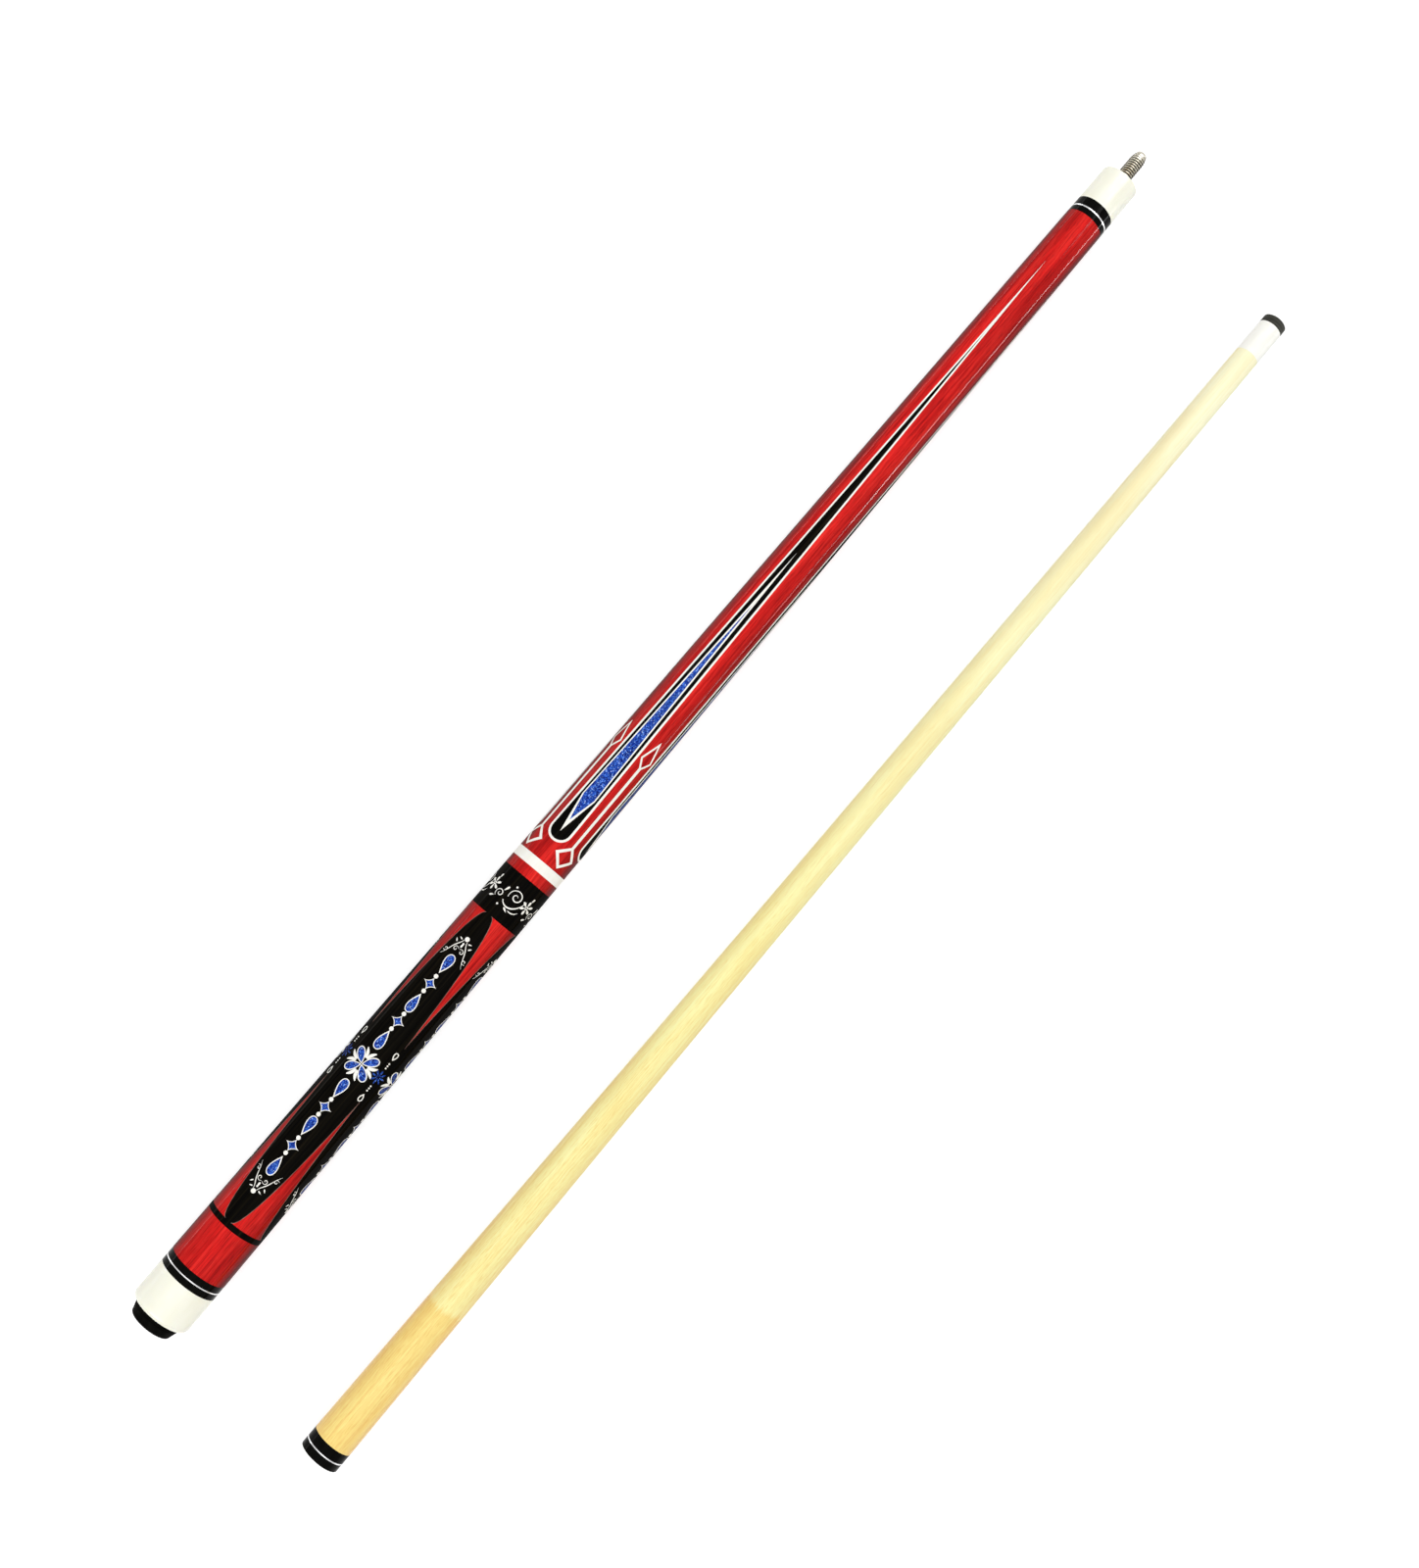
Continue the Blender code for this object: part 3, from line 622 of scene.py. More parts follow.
def make_butt_wood():
    """The handle with its bores, and the forearm."""
    rear = CAP_WALL + FIT
    front = FOREARM[0] - FACE_GAP
    handle = [
        (WEIGHT_BORE_END, 0.0), (WEIGHT_BORE_END, WEIGHT_BORE),
        (PLUG_BORE_END, WEIGHT_BORE), (PLUG_BORE_END, PLUG_BORE),
        (rear, PLUG_BORE), (rear, REAR_TENON),
        (HANDLE[0], REAR_TENON), (HANDLE[0], butt_radius(HANDLE[0])),
        (HANDLE[1], butt_radius(HANDLE[1])), (HANDLE[1], FRONT_TENON),
        (front, FRONT_TENON), (front, SCREW_BORE),
        (FOREARM[0] - SCREW_REACH, SCREW_BORE), (FOREARM[0] - SCREW_REACH, 0.0),
    ]
    turned("handle", BUTT, handle, "black_wood")
    pin_bore = PIN_RADIUS + FIT
    pin_bottom = BUTT_LENGTH - PIN_ROOT - FIT
    forearm = [
        (FOREARM[0] + SCREW_REACH, 0.0), (FOREARM[0] + SCREW_REACH, SCREW_BORE),
        (FOREARM[0], SCREW_BORE), (FOREARM[0], butt_radius(FOREARM[0])),
        (FOREARM[1], butt_radius(FOREARM[1])), (FOREARM[1], JOINT_TENON),
        (BUTT_LENGTH - FIT, JOINT_TENON), (BUTT_LENGTH - FIT, pin_bore),
        (pin_bottom, pin_bore), (pin_bottom, 0.0),
    ]
    turned("forearm", BUTT, forearm, "red_wood")


def make_butt_rings():
    """Rings and sleeves from the cap to the joint, each with the bore of the tenon that it sits on."""
    rear, front, joint = REAR_TENON + FIT, FRONT_TENON + FIT, JOINT_TENON + FIT
    rings = (
        ("rear_ring", CAP_END, REAR_LINE[0], rear, "black_plastic"),
        ("rear_ring_line", *REAR_LINE, rear, "silver"),
        ("sleeve_ring", REAR_LINE[1], SLEEVE[0], rear, "black_plastic"),
        ("butt_sleeve", *SLEEVE, rear, "red_wood"),
        ("sleeve_band", SLEEVE[1], HANDLE[0], rear, "black_wood"),
        ("scroll_band", HANDLE[1], RED_RING[0], front, "black_wood"),
        ("red_ring", *RED_RING, front, "red_wood"),
        ("white_ring", RED_RING[1], FOREARM[0], front, "ivory_plastic"),
        ("joint_ring", FOREARM[1], JOINT_LINE[0], joint, "black_plastic"),
        ("joint_ring_line", *JOINT_LINE, joint, "silver"),
        ("collar_ring", JOINT_LINE[1], COLLAR_AT, joint, "black_plastic"),
    )
    for name, start, end, bore, slot in rings:
        finish = "white_inlay" if name == "white_ring" else slot
        ring(name, BUTT, start, end, bore, finish, slot)


def make_butt_ends():
    """The cap at the rear and the collar at the joint face."""
    bore = REAR_TENON + FIT
    edge_centre = butt_radius(CAP_EDGE) - CAP_EDGE
    cap = [(CAP_END, bore), (CAP_END, butt_radius(CAP_END))]
    cap += arc(CAP_EDGE, edge_centre, CAP_EDGE, 0, -90, 14)
    cap += [(0.0, PLUG_BORE + 0.4), (0.4, PLUG_BORE), (CAP_WALL, PLUG_BORE)]
    cap += [(CAP_WALL, bore), (CAP_END, bore)]
    turned("butt_cap", BUTT, cap, "ivory_plastic")
    bore = JOINT_TENON + FIT
    face_radius = butt_radius(BUTT_LENGTH) - COLLAR_EDGE
    collar = [(COLLAR_AT, bore), (COLLAR_AT, butt_radius(COLLAR_AT))]
    collar += arc(BUTT_LENGTH - COLLAR_EDGE, face_radius, COLLAR_EDGE, 0, 90, 6)
    collar += [(BUTT_LENGTH, bore), (COLLAR_AT, bore)]
    turned("joint_collar", BUTT, collar, "ivory_plastic")


def make_bumper():
    """The rubber foot with its dimple and moulded groove, and the ribbed plug in front of it."""
    height, foot_radius, seat_radius, edge = 6.48, 11.2, 12.6, 1.4
    stem, rib, neck, ribs = 16.0, 7.3, 6.5, 3
    pitch = stem / (ribs + 1)
    profile = [(stem, 0.0), (stem, neck - 0.6), (stem - 0.6, neck)]
    for count in range(ribs):
        middle = stem - (count + 0.5) * pitch
        profile += [(middle + pitch / 2 - 0.4, neck), (middle + 0.15, rib), (middle - 0.15, rib)]
        profile.append((middle - 0.4, neck))
    profile += [(-FIT, neck), (-FIT, seat_radius - 0.3), (-FIT - 0.3, seat_radius)]
    profile += [(-1.5, seat_radius - 0.2), (-1.7, seat_radius - 0.5), (-2.0, seat_radius - 0.35)]
    profile += arc(-height + edge, foot_radius - edge, edge, 0, -90, 10)
    profile += [(-height, 3.2), (-height + 0.2, 3.0), (-height + 1.6, 1.6), (-height + 1.6, 0.0)]
    finished("bumper_moulded", BUTT, spun(profile), "rubber", ["bumper"], body="bumper")


def thread(low, high, root, crest):
    """A thread's open surface between two stations: one tooth, swept round and forwards."""
    shape = bmesh.new()
    pitch = THREAD_PITCH
    turns = math.ceil((high - low) / pitch) + 2
    tooth = ((0.0, root, 0), (0.12, root, 0), (0.5, crest, 1), (0.64, crest, 1), (1.0, root, 0))
    start = low - pitch
    # The crest mark feeds the painted shade: 1 on the crests and 0 in the valleys.
    mark = shape.verts.layers.float.new("crest")
    rim = rim_of(shape, [(start + share * pitch, radius) for share, radius, _ in tooth])
    for vert, (_, _, is_crest) in zip(rim, tooth):
        vert[mark] = is_crest
    sweep = {"steps": THREAD_STEPS * turns, "dvec": (pitch / THREAD_STEPS, 0.0, 0.0)}
    bmesh.ops.spin(shape, geom=rim, angle=math.tau * turns, **sweep, **ROUND_AXIS)
    bmesh.ops.remove_doubles(shape, verts=shape.verts, dist=pitch / 200)
    rims = []
    for station, outwards in ((low, -1.0), (high, 1.0)):
        geometry = shape.verts[:] + shape.edges[:] + shape.faces[:]
        plane = {"plane_co": (station, 0.0, 0.0), "plane_no": (outwards, 0.0, 0.0)}
        cut = bmesh.ops.bisect_plane(shape, geom=geometry, clear_outer=True, **plane)
        rims.append([item for item in cut["geom_cut"] if isinstance(item, bmesh.types.BMEdge)])
    return shape, rims


def make_joint_pin():
    """The joint pin with its thread, which runs out over a bullet nose."""
    rear, front = BUTT_LENGTH - PIN_ROOT, BUTT_LENGTH + PIN_REACH
    shoulder = front - PIN_NOSE
    shape, rims = thread(rear, front, PIN_RADIUS - THREAD_DEPTH, PIN_RADIUS)
    mark = shape.verts.layers.float["crest"]
    for rim in rims:
        bmesh.ops.edgeloop_fill(shape, edges=rim)
    for vert in shape.verts:
        share = (vert.co.x - shoulder) / PIN_NOSE
        if share > 0:
            most = PIN_RADIUS - (PIN_RADIUS - PIN_NOSE_RADIUS) * share ** 2
            radius = math.hypot(vert.co.y, vert.co.z)
            scale = min(1.0, most / max(radius, MERGE_DISTANCE))
            vert.co.yz = vert.co.yz * scale
            # The nose has no valleys, so the painted shade fades out over it.
            vert[mark] = max(vert[mark], share)
    finished("joint_pin_threaded", BUTT, shape, "pin_steel", ["joint_pin"])


def make_shaft_wood():
    """The shaft with its bores and tenons."""
    insert_bore = INSERT_RADIUS + FIT
    insert_bottom = INSERT_LENGTH + 2 * FIT
    pin_bore = PIN_RADIUS + FIT
    front = TIP_AT - FERRULE_WALL - FIT
    stations = spread(SHAFT_WOOD_AT, FERRULE_AT, SHAFT_STEPS + 1)
    profile = [
        (insert_bottom + PIN_RUNOUT, 0.0), (insert_bottom + PIN_RUNOUT, pin_bore),
        (insert_bottom, pin_bore), (insert_bottom, insert_bore),
        (FIT, insert_bore), (FIT, SHAFT_TENON),
        (SHAFT_WOOD_AT, SHAFT_TENON),
    ]
    profile += [(station, shaft_radius(station)) for station in stations]
    profile += [(FERRULE_AT, FERRULE_TENON), (front, FERRULE_TENON), (front, 0.0)]
    turned("shaft", SHAFT, profile, "maple")


def make_shaft_rings():
    """The black collar, the silver line and the black ring at the shaft's joint end."""
    bore = SHAFT_TENON + FIT
    collar = [(SHAFT_LINE[0], bore), (SHAFT_LINE[0], shaft_radius(SHAFT_LINE[0]))]
    collar += arc(COLLAR_EDGE, shaft_radius(0.0) - COLLAR_EDGE, COLLAR_EDGE, 0, -90, 6)
    collar += [(0.0, bore), (SHAFT_LINE[0], bore)]
    turned("shaft_collar", SHAFT, collar, "shaft_black", "black_plastic")
    ring("shaft_ring_line", SHAFT, *SHAFT_LINE, bore, "shaft_silver", "silver")
    ring("shaft_ring", SHAFT, SHAFT_LINE[1], SHAFT_WOOD_AT, bore, "shaft_black", "black_plastic")


def make_shaft_insert():
    """The brass insert, with the thread that takes the joint pin."""
    low, high = FIT, FIT + INSERT_LENGTH
    root = PIN_RADIUS + FIT
    mouth = low + INSERT_MOUTH
    shape, _ = thread(mouth, high, root, root - THREAD_DEPTH)
    sleeve = bmesh.new()
    profile = [(mouth, root + 0.05), (low, root + 0.5), (low, INSERT_RADIUS)]
    profile += [(high, INSERT_RADIUS), (high, root + 0.05)]
    rim = rim_of(sleeve, profile)
    bmesh.ops.spin(sleeve, geom=rim, steps=TURN_STEPS // 2, angle=math.tau, use_merge=True, **ROUND_AXIS)
    # The sleeve gets no painted shade: its crest mark is 1 all over.
    bright = sleeve.verts.layers.float.new("crest")
    for vert in sleeve.verts:
        vert[bright] = 1.0
    absorb(shape, sleeve)
    for station in (mouth, high):
        open_edges = [edge for edge in shape.edges if edge.is_boundary]
        near = [edge for edge in open_edges if all(abs(vert.co.x - station) < 0.1 for vert in edge.verts)]
        bmesh.ops.triangle_fill(shape, edges=near, use_beauty=True, normal=(1.0, 0.0, 0.0))
    finished("shaft_insert_threaded", SHAFT, shape, "brass", ["shaft_insert"])


def make_front_end():
    """The ferrule and the leather tip."""
    bore = FERRULE_TENON + FIT
    bore_end = TIP_AT - FERRULE_WALL
    ferrule = [(bore_end, 0.0), (bore_end, bore), (FERRULE_AT, bore), (FERRULE_AT, TIP_RADIUS)]
    ferrule += [(TIP_AT, TIP_RADIUS), (TIP_AT, 0.0)]
    turned("ferrule", SHAFT, ferrule, "ferrule", "ferrule_plastic")
    dome_radius = TIP_DOME_RADIUS
    dome_angle = math.degrees(math.asin((TIP_RADIUS - 0.15) / dome_radius))
    dome = arc(SHAFT_LENGTH - dome_radius, 0.0, dome_radius, 90 - dome_angle, 90, 12)
    tip = [(TIP_AT, 0.0), (TIP_AT, TIP_RADIUS)]
    tip += [(dome[0][0] - 0.5, TIP_RADIUS), (dome[0][0] - 0.1, TIP_RADIUS - 0.04)]
    tip += dome[:-1] + [(SHAFT_LENGTH, 0.0)]
    finished("tip_pressed", SHAFT, spun(tip), "leather", ["tip"])


# Inlays: flat outlines as complex numbers, along + across * 1j, in millimetres


LEVEL = 0.016
SUNK = 0.06
CUT_ACROSS = 0.7
CUT_ALONG = 9.0
POINT_ANGLE = -8.0
BETWEEN_POINTS = POINT_ANGLE + 45
QUARTERS = (0, 90, 180, 270)


def both_sides(side):
    """A closed outline from the points along one side of a line that it mirrors."""
    return side + [point.conjugate() for point in reversed(side) if abs(point.imag) > MERGE_DISTANCE]


def drop(length, width, sharpness=1.3):
    """A drop with its round end at 0 and its point at its length."""
    angles = [math.tau * step / 32 for step in range(32)]
    swell = [math.sin(angle) * abs(math.sin(angle / 2)) ** sharpness for angle in angles]
    most = max(swell)
    lengths = [length * (1 + math.cos(angle)) / 2 for angle in angles]
    return [complex(along, width / 2 * size / most) for along, size in zip(lengths, swell)]


def star(along, across, hollow):
    """A star with four points and hollow sides."""
    points = []
    for step in range(40):
        angle = math.tau * step / 40
        cos, sin = math.cos(angle), math.sin(angle)
        u = along * math.copysign(abs(cos) ** hollow, cos)
        v = across * math.copysign(abs(sin) ** hollow, sin)
        points.append(complex(u, v))
    return points


def dot(radius, count=18):
    return [cmath.rect(radius, math.tau * step / count) for step in range(count)]


def kite(rear, front, across):
    return [complex(-rear, 0), complex(0, -across), complex(front, 0), complex(0, across)]


def ribbon(line, width, ends=0.25):
    """A band along a line of points, widest near its middle, with ends of this share of its width."""
    left, right = [], []
    last = len(line) - 1
    for index, point in enumerate(line):
        ahead = line[min(index + 1, last)] - line[max(index - 1, 0)]
        share = index / last
        half = width / 2 * (ends + (1 - ends) * math.sin(math.pi * min(1.0, 0.1 + 0.9 * share)))
        normal = ahead / abs(ahead) * 1j * half
        left.append(point + normal)
        right.append(point - normal)
    return left + right[::-1]


def bend(*corners):
    """A smooth line that starts and ends at the first and last corners and leans to those between."""
    line = []
    for share in spread(0.0, 1.0, 16):
        points = list(corners)
        while len(points) > 1:
            points = [first + (second - first) * share for first, second in zip(points, points[1:])]
        line.append(points[0])
    return line


def scroll(radius, turns, start):
    """A line that curls inwards to its centre, from an angle in degrees."""
    line = []
    for share in spread(0.0, 1.0, 40):
        angle = math.radians(start) + math.tau * turns * share
        line.append(cmath.rect(radius * (1 - 0.86 * share ** 0.8), angle))
    return line


def moved(outline, by=0, turn=0):
    """An outline turned by degrees and then moved."""
    return [point * cmath.rect(1, math.radians(turn)) + by for point in outline]


class Inlay:
    """Plates of one finish on the butt, each cut from a flat outline and wrapped round the taper."""

    def __init__(self, finish):
        self.finish = finish
        self.shape = bmesh.new()

    def around(self, outline, angle, level=1):
        """A plate at this angle and at each quarter turn from it. Higher levels lie on the lower ones."""
        plate = bmesh.new()
        top = LEVEL * level
        corners = [plate.verts.new((point.real, point.imag, top)) for point in outline]
        edges = [plate.edges.new(pair) for pair in zip(corners, corners[1:] + corners[:1])]
        bmesh.ops.triangle_fill(plate, edges=edges, use_beauty=True, normal=(0.0, 0.0, 1.0))
        self.cut(plate, 0, CUT_ALONG)
        self.cut(plate, 1, CUT_ACROSS)
        bmesh.ops.remove_doubles(plate, verts=plate.verts, dist=MERGE_DISTANCE)
        bmesh.ops.dissolve_degenerate(plate, edges=plate.edges, dist=MERGE_DISTANCE)
        sides = bmesh.ops.extrude_face_region(plate, geom=plate.faces[:])
        lower = [item for item in sides["geom"] if isinstance(item, bmesh.types.BMVert)]
        bmesh.ops.translate(plate, vec=(0.0, 0.0, -SUNK - 2 * top), verts=lower)
        for quarter in QUARTERS:
            wrapped = plate.copy()
            for vert in wrapped.verts:
                vert.co = self.wrapped(vert.co, math.radians(angle + quarter))
            absorb(self.shape, wrapped)
        plate.free()

    @staticmethod
    def cut(plate, axis, spacing):
        """Cuts a plate at even steps, so that it can bend."""
        places = [vert.co[axis] for vert in plate.verts]
        normal = Vector((axis == 0, axis == 1, 0))
        for step in range(math.floor(min(places) / spacing) + 1, math.ceil(max(places) / spacing)):
            geometry = plate.verts[:] + plate.edges[:] + plate.faces[:]
            bmesh.ops.bisect_plane(plate, geom=geometry, plane_co=normal * step * spacing, plane_no=normal)

    @staticmethod
    def wrapped(flat, angle):
        radius = butt_radius(flat.x)
        turned = angle + flat.y / radius
        outside = radius + flat.z
        return Vector((flat.x, -outside * math.sin(turned), outside * math.cos(turned)))

    def done(self, name):
        """Finishes the plates, with normals out from the axis, so that reflections run over them."""
        mesh = finished(name, BUTT, self.shape, self.finish)
        places = [BUTT.matrix.inverted() @ vert.co for vert in mesh.vertices]
        turn = BUTT.matrix.to_quaternion()
        normals = [turn @ Vector((0.0, *place.yz)).normalized() for place in places]
        mesh.normals_split_custom_set_from_vertices(normals)


def point_outline(base, centre, half_width, tip, power):
    """A long point with a round base."""
    side = []
    for angle in spread(0.0, math.pi / 2, 10)[:-1]:
        side.append(complex(centre - (centre - base) * math.cos(angle), half_width * math.sin(angle)))
    for station in spread(centre, tip, 60):
        share = max(0.0, (station - centre - 3) / (tip - centre - 3))
        side.append(complex(station, half_width * (1 - share) ** power))
    return both_sides(side)


def make_forearm_inlays():
    """Four long points with white edges, a blue spear in each, and a line of diamonds between them."""
    white, black = Inlay("white_inlay"), Inlay("black_wood")
    blue, red = Inlay("blue_pearl"), Inlay("red_wood")
    white.around(point_outline(289.3, 295.75, 6.45, 673.6, 1.02), POINT_ANGLE)
    black.around(point_outline(290.5, 295.8, 5.25, 626.0, 1.0), POINT_ANGLE, 2)
    white.around([294.9 + 0j, 316 - 3.9j, 474.8 + 0j, 316 + 3.9j], POINT_ANGLE, 3)
    blue.around([302 + 0j, 316.4 - 3.3j, 441 + 0j, 316.4 + 3.3j], POINT_ANGLE, 4)
    white.around(moved(kite(6.6, 6.6, 6.3), 286.4), BETWEEN_POINTS)
    white.around([291.5 - 0.75j, 343 - 0.75j, 343 + 0.75j, 291.5 + 0.75j], BETWEEN_POINTS, 2)
    white.around(moved(kite(6.1, 11.8, 3.7), 347.7), BETWEEN_POINTS)
    red.around(moved(kite(4.6, 4.6, 4.2), 286.4), BETWEEN_POINTS, 2)
    red.around(moved(kite(4.3, 8.8, 2.65), 347.8), BETWEEN_POINTS, 3)
    white.done("forearm_white_inlay")
    black.done("forearm_points")
    blue.done("forearm_blue_inlay")
    red.done("forearm_diamond_centres")


def make_handle_points():
    """Red points with thin grey edges that run into the black handle from both ends."""
    red, veneer = Inlay("red_wood"), Inlay("grey_veneer")
    widest = math.radians(38)
    for start, tip in ((HANDLE[0], 136.0), (HANDLE[1], 168.2)):
        side = []
        for root in spread(0.0, 1.0, 41):
            station = start + (tip - start) * root ** 2
            side.append(complex(station, butt_radius(station) * widest * (1 - root) ** 1.2))
        red.around(both_sides(side), BETWEEN_POINTS)
        for edge in (side, [point.conjugate() for point in side]):
            veneer.around(ribbon(edge, 0.3, 0.9), BETWEEN_POINTS, 2)
    red.done("handle_red_points")
    veneer.done("handle_point_edges")


CHAIN_AT = 150.3
DROP_EDGE = 0.47


def make_handle_chain():
    """On each black panel a rosette, and on both sides of it a chain of drops, stars and beads."""
    white, blue, black = Inlay("white_inlay"), Inlay("blue_pearl"), Inlay("black_wood")

    def place(inlay, level, outline, by, turn=0):
        inlay.around(moved(outline, CHAIN_AT + by, turn), POINT_ANGLE, level)

    def edged(by, turn):
        """A blue drop with a white edge, with its round end at this place."""
        inwards = cmath.rect(DROP_EDGE, math.radians(turn))
        place(white, 1, drop(11.2, 5.0), by, turn)
        place(blue, 2, drop(9.4, 5.0 - 2 * DROP_EDGE), by + inwards, turn)

    leaf = ribbon(bend(3.4 + 0.5j, 6.0 + 0.75j, 8.0 + 2.8j), 1.6, 0.3)
    for turn in QUARTERS:
        outwards = cmath.rect(1, math.radians(turn + 45))
        place(white, 1, drop(8.6, 4.5, 0.8), 8.8 * outwards, turn + 225)
        place(blue, 2, drop(7.5, 3.45, 0.8), 8.3 * outwards, turn + 225)
        place(white, 1, leaf, 0, turn)
        place(white, 1, [point.conjugate() for point in leaf], 0, turn)
    for way, turn in ((1, 0), (-1, 180)):
        for near in (9.4, 32.0):
            edged(way * near, turn)
        edged(way * 66.7, turn + 180)
        for at in (21.5, 30.5, 44.7, 53.7):
            place(white, 1, dot(1.1), way * at)
        for at in (26.0, 49.2):
            place(white, 1, star(3.8, 4.1, 3.2), way * at)
            place(blue, 2, star(2.7, 2.9, 2.9), way * at)
        for outline in sprig():
            place(white, 3, outline, way * 66.0, turn)
    make_small_flowers(white, blue, black)
    white.done("handle_white_inlay")
    blue.done("handle_blue_inlay")
    black.done("handle_drop_centres")


def sprig():
    """Outlines of a small scroll ornament for the end of a chain, 10 mm long."""
    outlines = [dot(1.2), moved(drop(2.6, 1.0, 0.9), -5.0)]
    outlines = [moved(outline, 10.4) for outline in outlines]
    outlines.append(moved(dot(0.5, 12), 7.6))
    for side in (-1, 1):
        parts = [
            ribbon(bend(9.4 + 1.0j, 6.2 + 1.4j, 5.6 + 4.6j, 1.6 + 3.6j, -2.6 + 6.8j), 0.46, 0.2),
            moved(ribbon(scroll(1.6, 1.15, -60), 0.36), 3.7 + 1.7j),
            moved(ribbon(scroll(1.4, 1.1, 130), 0.34), 0.9 + 5.9j),
            moved(drop(2.0, 0.65, 0.8), 6.6 + 3.6j, 40),
            moved(drop(1.8, 0.65, 0.8), 8.9 + 2.0j, 70),
        ]
        for part in parts:
            outlines.append(part if side > 0 else [point.conjugate() for point in part])
    return outlines


def make_small_flowers(white, blue, black):
    """Between the panels a small blue flower, with beads and a hollow drop on both sides."""
    angle = POINT_ANGLE + 41
    for turn in range(0, 360, 45):
        outline = moved(drop(3.3, 0.8, 0.8), CHAIN_AT + cmath.rect(3.7, math.radians(turn)), turn + 180)
        blue.around(outline, angle, 2)
    for way, turn in ((1, 180), (-1, 0)):
        for at in (5.4, 6.7, 8.0):
            white.around(moved(dot(0.45, 12), CHAIN_AT + way * at), angle)
        white.around(moved(drop(4.4, 2.6, 0.9), CHAIN_AT + way * 14.4, turn), angle)
        black.around(moved(drop(2.9, 1.45, 0.9), CHAIN_AT + way * 13.9, turn), angle, 2)


def make_scroll_band():
    """White scrolls with leaves and a small flower, four times round the band."""
    white, black = Inlay("white_inlay"), Inlay("black_wood")
    angle = POINT_ANGLE - 3.5
    middle = (HANDLE[1] + RED_RING[0]) / 2 + 0.6
    flower = middle + 0.6 - 8.4j
    for turn in range(0, 360, 60):
        petal = moved(drop(2.7, 1.25, 0.6), flower + cmath.rect(3.7, math.radians(turn)), turn + 180)
        white.around(petal, angle)
    white.around(moved(dot(0.95), flower), angle, 2)
    black.around(moved(dot(0.42, 12), flower), angle, 3)
    strokes = (
        (ribbon(scroll(2.6, 1.35, -150), 0.5), -1.6 - 2.2j),
        (ribbon(scroll(4.2, 1.5, -120), 0.58), 1.5 + 5.9j),
        (ribbon(bend(-3.4 + 0j, -7.4 + 2.4j, -5.4 + 9j, 2.6 + 10.4j), 0.75, 0.15), 0.4 + 1.2j),
        (ribbon(bend(-6.4 + 6.4j, -7.2 + 9.6j, -4.4 + 11.4j), 0.6, 0.15), 0.4 + 0j),
    )
    leaves = (
        (drop(3.4, 1.0, 0.8), 3.6 + 0.2j, -155),
        (drop(2.8, 0.9, 0.8), -5.8 + 4.0j, 120),
        (drop(2.6, 0.9, 0.8), -5.4 - 6.4j, 60),
        (drop(2.4, 0.85, 0.8), 6.5 - 7.6j, 190),
    )
    for outline, by in strokes:
        white.around(moved(outline, middle + by), angle)
    for outline, by, turn in leaves:
        white.around(moved(outline, middle + by, turn), angle)
    for by in (5.6 + 3.0j, -6.4 + 0.4j):
        white.around(moved(dot(0.5, 12), middle + by), angle)
    white.done("scroll_band_inlay")
    black.done("scroll_band_centres")


# The studio


FLOOR_SHADE = 0.64
FLOOR_GLOW = 0.58
FLOOR_DROP = 0.0001
WORLD_LIGHT = 0.09
WORLD_GLOW = 0.6


def make_floor():
    """A wide pale floor that keeps a soft shadow and is near white to the camera and in reflections."""
    shape = bmesh.new()
    bmesh.ops.create_grid(shape, x_segments=1, y_segments=1, size=12.0)
    mesh = bpy.data.meshes.new("studio_floor")
    shape.to_mesh(mesh)
    shape.free()
    floor = bpy.data.objects.new("studio_floor", mesh)
    floor.location.z = cad_box[0].z - FLOOR_DROP
    bpy.context.scene.collection.objects.link(floor)
    material = bpy.data.materials.new("pale studio floor")
    material.use_nodes = True
    tree = material.node_tree
    tree.nodes.clear()
    output = tree.nodes.new("ShaderNodeOutputMaterial")
    both = tree.nodes.new("ShaderNodeAddShader")
    diffuse = tree.nodes.new("ShaderNodeBsdfDiffuse")
    diffuse.inputs["Color"].default_value = (FLOOR_SHADE, FLOOR_SHADE, FLOOR_SHADE, 1.0)
    glow = tree.nodes.new("ShaderNodeEmission")
    tree.links.new(seen_rays(tree, FLOOR_GLOW), glow.inputs["Strength"])
    tree.links.new(diffuse.outputs[0], both.inputs[0])
    tree.links.new(glow.outputs[0], both.inputs[1])
    tree.links.new(both.outputs[0], output.inputs["Surface"])
    mesh.materials.append(material)


def seen_rays(tree, strength):
    """This strength for camera, glossy and transmission rays, and none for others."""
    path = tree.nodes.new("ShaderNodeLightPath")
    total = path.outputs["Is Camera Ray"]
    for name in ("Is Glossy Ray", "Is Transmission Ray"):
        larger = tree.nodes.new("ShaderNodeMath")
        larger.operation = "MAXIMUM"
        tree.links.new(total, larger.inputs[0])
        tree.links.new(path.outputs[name], larger.inputs[1])
        total = larger.outputs[0]
    times = tree.nodes.new("ShaderNodeMath")
    times.operation = "MULTIPLY"
    times.inputs[1].default_value = strength
    tree.links.new(total, times.inputs[0])
    return times.outputs[0]


def softbox(name, place, size, watts, aim=(0.0, 0.0, 0.0)):
    """A flat lamp that faces its aim."""
    light = bpy.data.lights.new(name, "AREA")
    light.shape = "RECTANGLE"
    light.size, light.size_y = size
    light.energy = watts
    lamp = bpy.data.objects.new(name, light)
    lamp.location = place
    lamp.rotation_euler = (Vector(aim) - Vector(place)).to_track_quat("-Z", "Y").to_euler()
    bpy.context.scene.collection.objects.link(lamp)
    return lamp


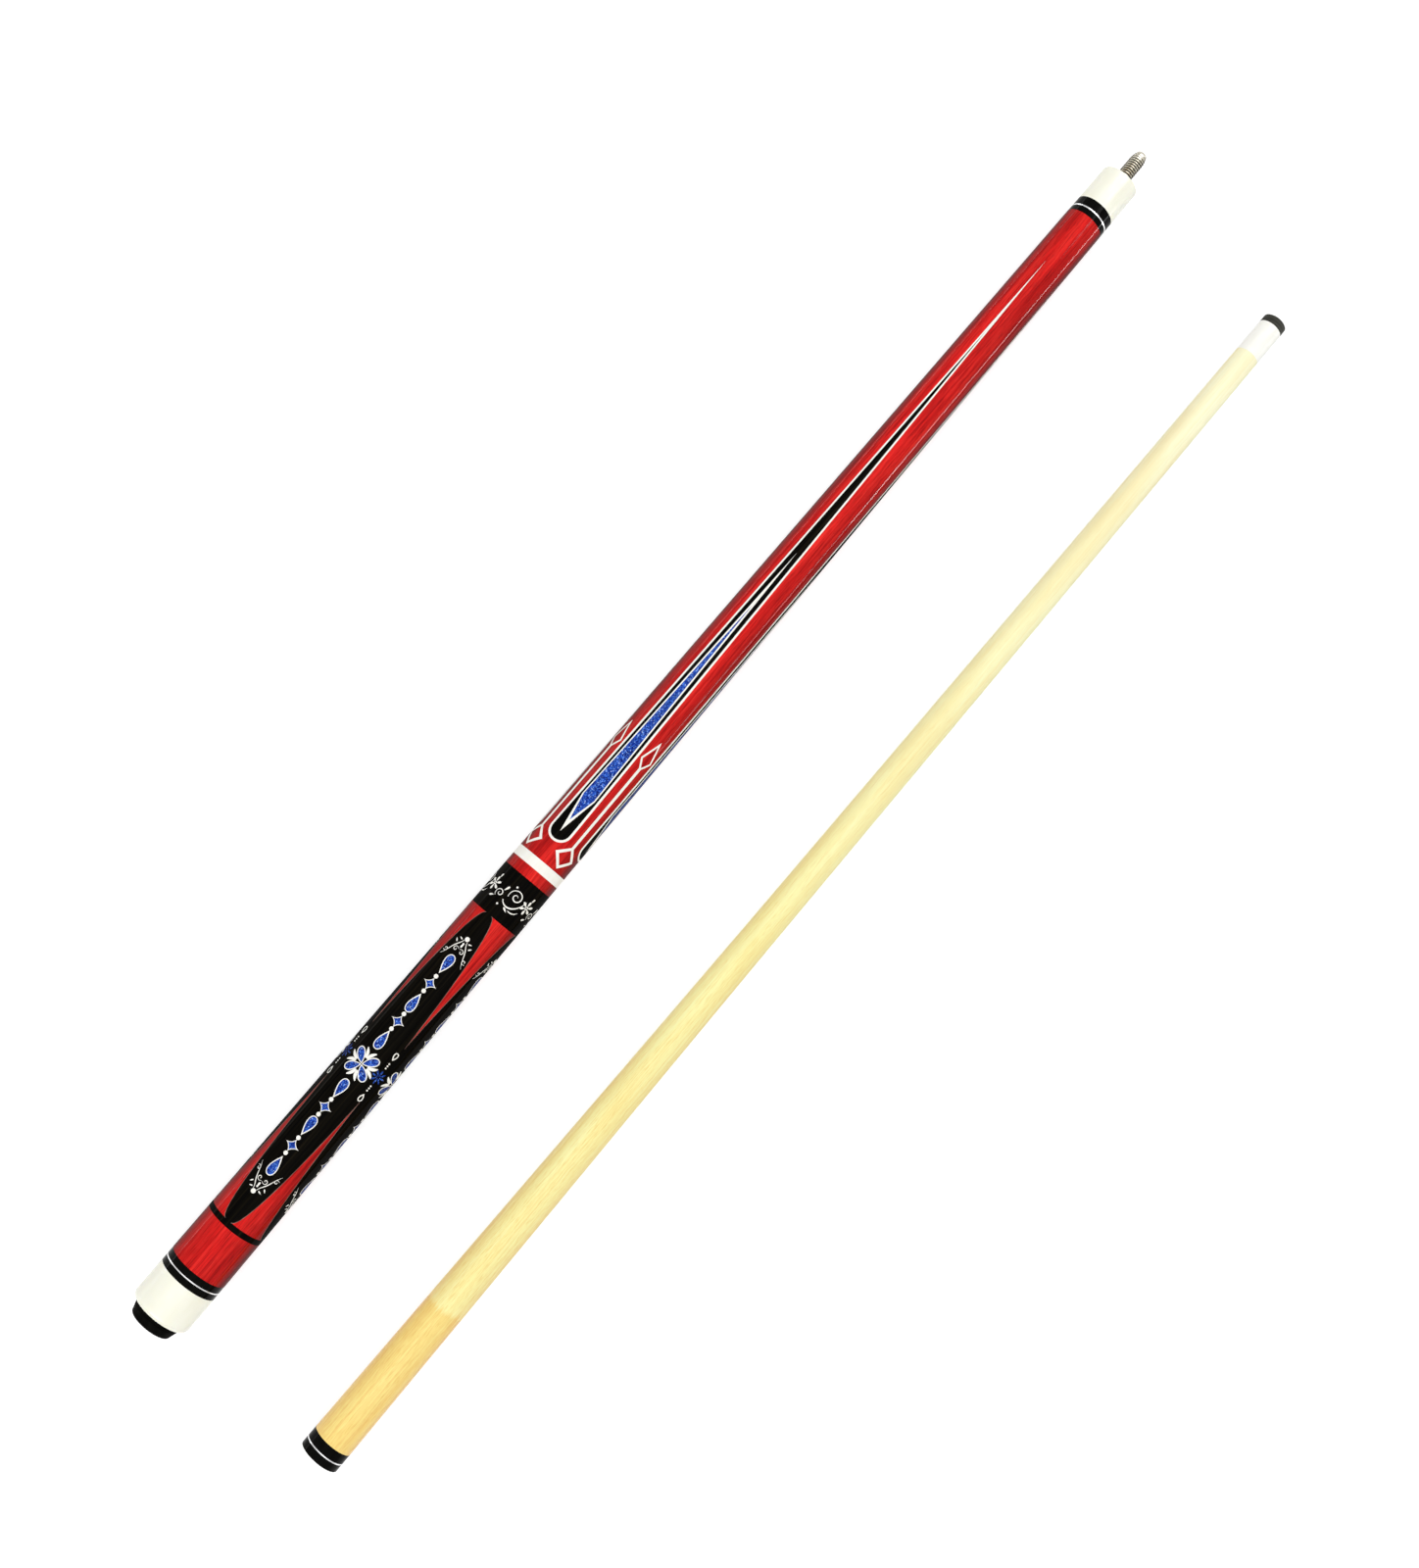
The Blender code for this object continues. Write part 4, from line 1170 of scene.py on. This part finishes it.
def make_lights():
    """Softboxes beyond both ends and overhead, panels that light the sides, and highlight strips."""
    softbox("rear softbox", (-1.5, -0.1, 1.25), (1.6, 0.8), 20.5)
    softbox("front softbox", (1.5, -0.1, 1.25), (1.6, 0.8), 20.5)
    softbox("overhead softbox", (0.0, -0.35, 1.7), (2.6, 1.5), 2.5, (0.0, -0.35, 0.0))
    for name, side, watts in (("far", 1, 14.0), ("near", -1, 12.5)):
        panel = softbox(name + " panel", (0.0, side * 1.5, 0.9), (3.2, 0.6), watts)
        panel.visible_glossy = False
    far = softbox("far strip", (0.0, 1.25, 0.06), (2.4, 0.05), 2.8)
    near = softbox("near strip", (0.35, -1.25, 0.06), (0.5, 0.08), 1.6)
    joint = softbox("joint strip", (0.76, -1.25, 0.06), (0.5, 0.11), 4.0, (0.33, 0.0, 0.0))
    for strip in (far, near, joint):
        strip.visible_diffuse = False


def make_world():
    world = bpy.data.worlds.new("studio")
    bpy.context.scene.world = world
    world.use_nodes = True
    background = world.node_tree.nodes["Background"]
    background.inputs["Color"].default_value = (1.0, 1.0, 1.0, 1.0)
    total = world.node_tree.nodes.new("ShaderNodeMath")
    total.inputs[1].default_value = WORLD_LIGHT
    world.node_tree.links.new(seen_rays(world.node_tree, WORLD_GLOW), total.inputs[0])
    world.node_tree.links.new(total.outputs[0], background.inputs["Strength"])


# The photographed view, as a place from the butt's rear end in millimetres and turns in degrees
CAMERA_PLACE = (264.27, -84.23, 880.15)
CAMERA_TURNS = (2.983, -6.217, -50.268)
FOCAL_LENGTH_PIXELS = 1837.0
IMAGE_HEIGHT_PIXELS = 1600


def make_camera():
    data = bpy.data.cameras.new("camera")
    data.sensor_width = 36.0
    data.lens = FOCAL_LENGTH_PIXELS * data.sensor_width / IMAGE_HEIGHT_PIXELS
    camera = bpy.data.objects.new("camera", data)
    bpy.context.scene.collection.objects.link(camera)
    about_x, about_y, about_z = (math.radians(turn) for turn in CAMERA_TURNS)
    lean = Euler((0.0, about_y, 0.0)).to_matrix() @ Euler((about_x, 0.0, 0.0)).to_matrix()
    turn = BUTT.matrix.to_quaternion().to_matrix() @ lean @ Euler((0.0, 0.0, about_z)).to_matrix()
    camera.matrix_world = Matrix.Translation(BUTT.matrix @ Vector(CAMERA_PLACE)) @ turn.to_4x4()
    bpy.context.scene.camera = camera


def make_cue():
    make_butt_wood()
    make_butt_rings()
    make_butt_ends()
    make_bumper()
    make_joint_pin()
    make_shaft_wood()
    make_shaft_rings()
    make_shaft_insert()
    make_front_end()
    make_forearm_inlays()
    make_handle_points()
    make_handle_chain()
    make_scroll_band()
    for node in ("handle_screw", "weight_bolt"):
        frame["nodes"][node].data.materials.clear()
        frame["nodes"][node].data.materials.append(FINISH["steel"])


make_cue()
make_floor()
make_lights()
make_world()
make_camera()
bpy.context.scene.view_settings.view_transform = "Standard"
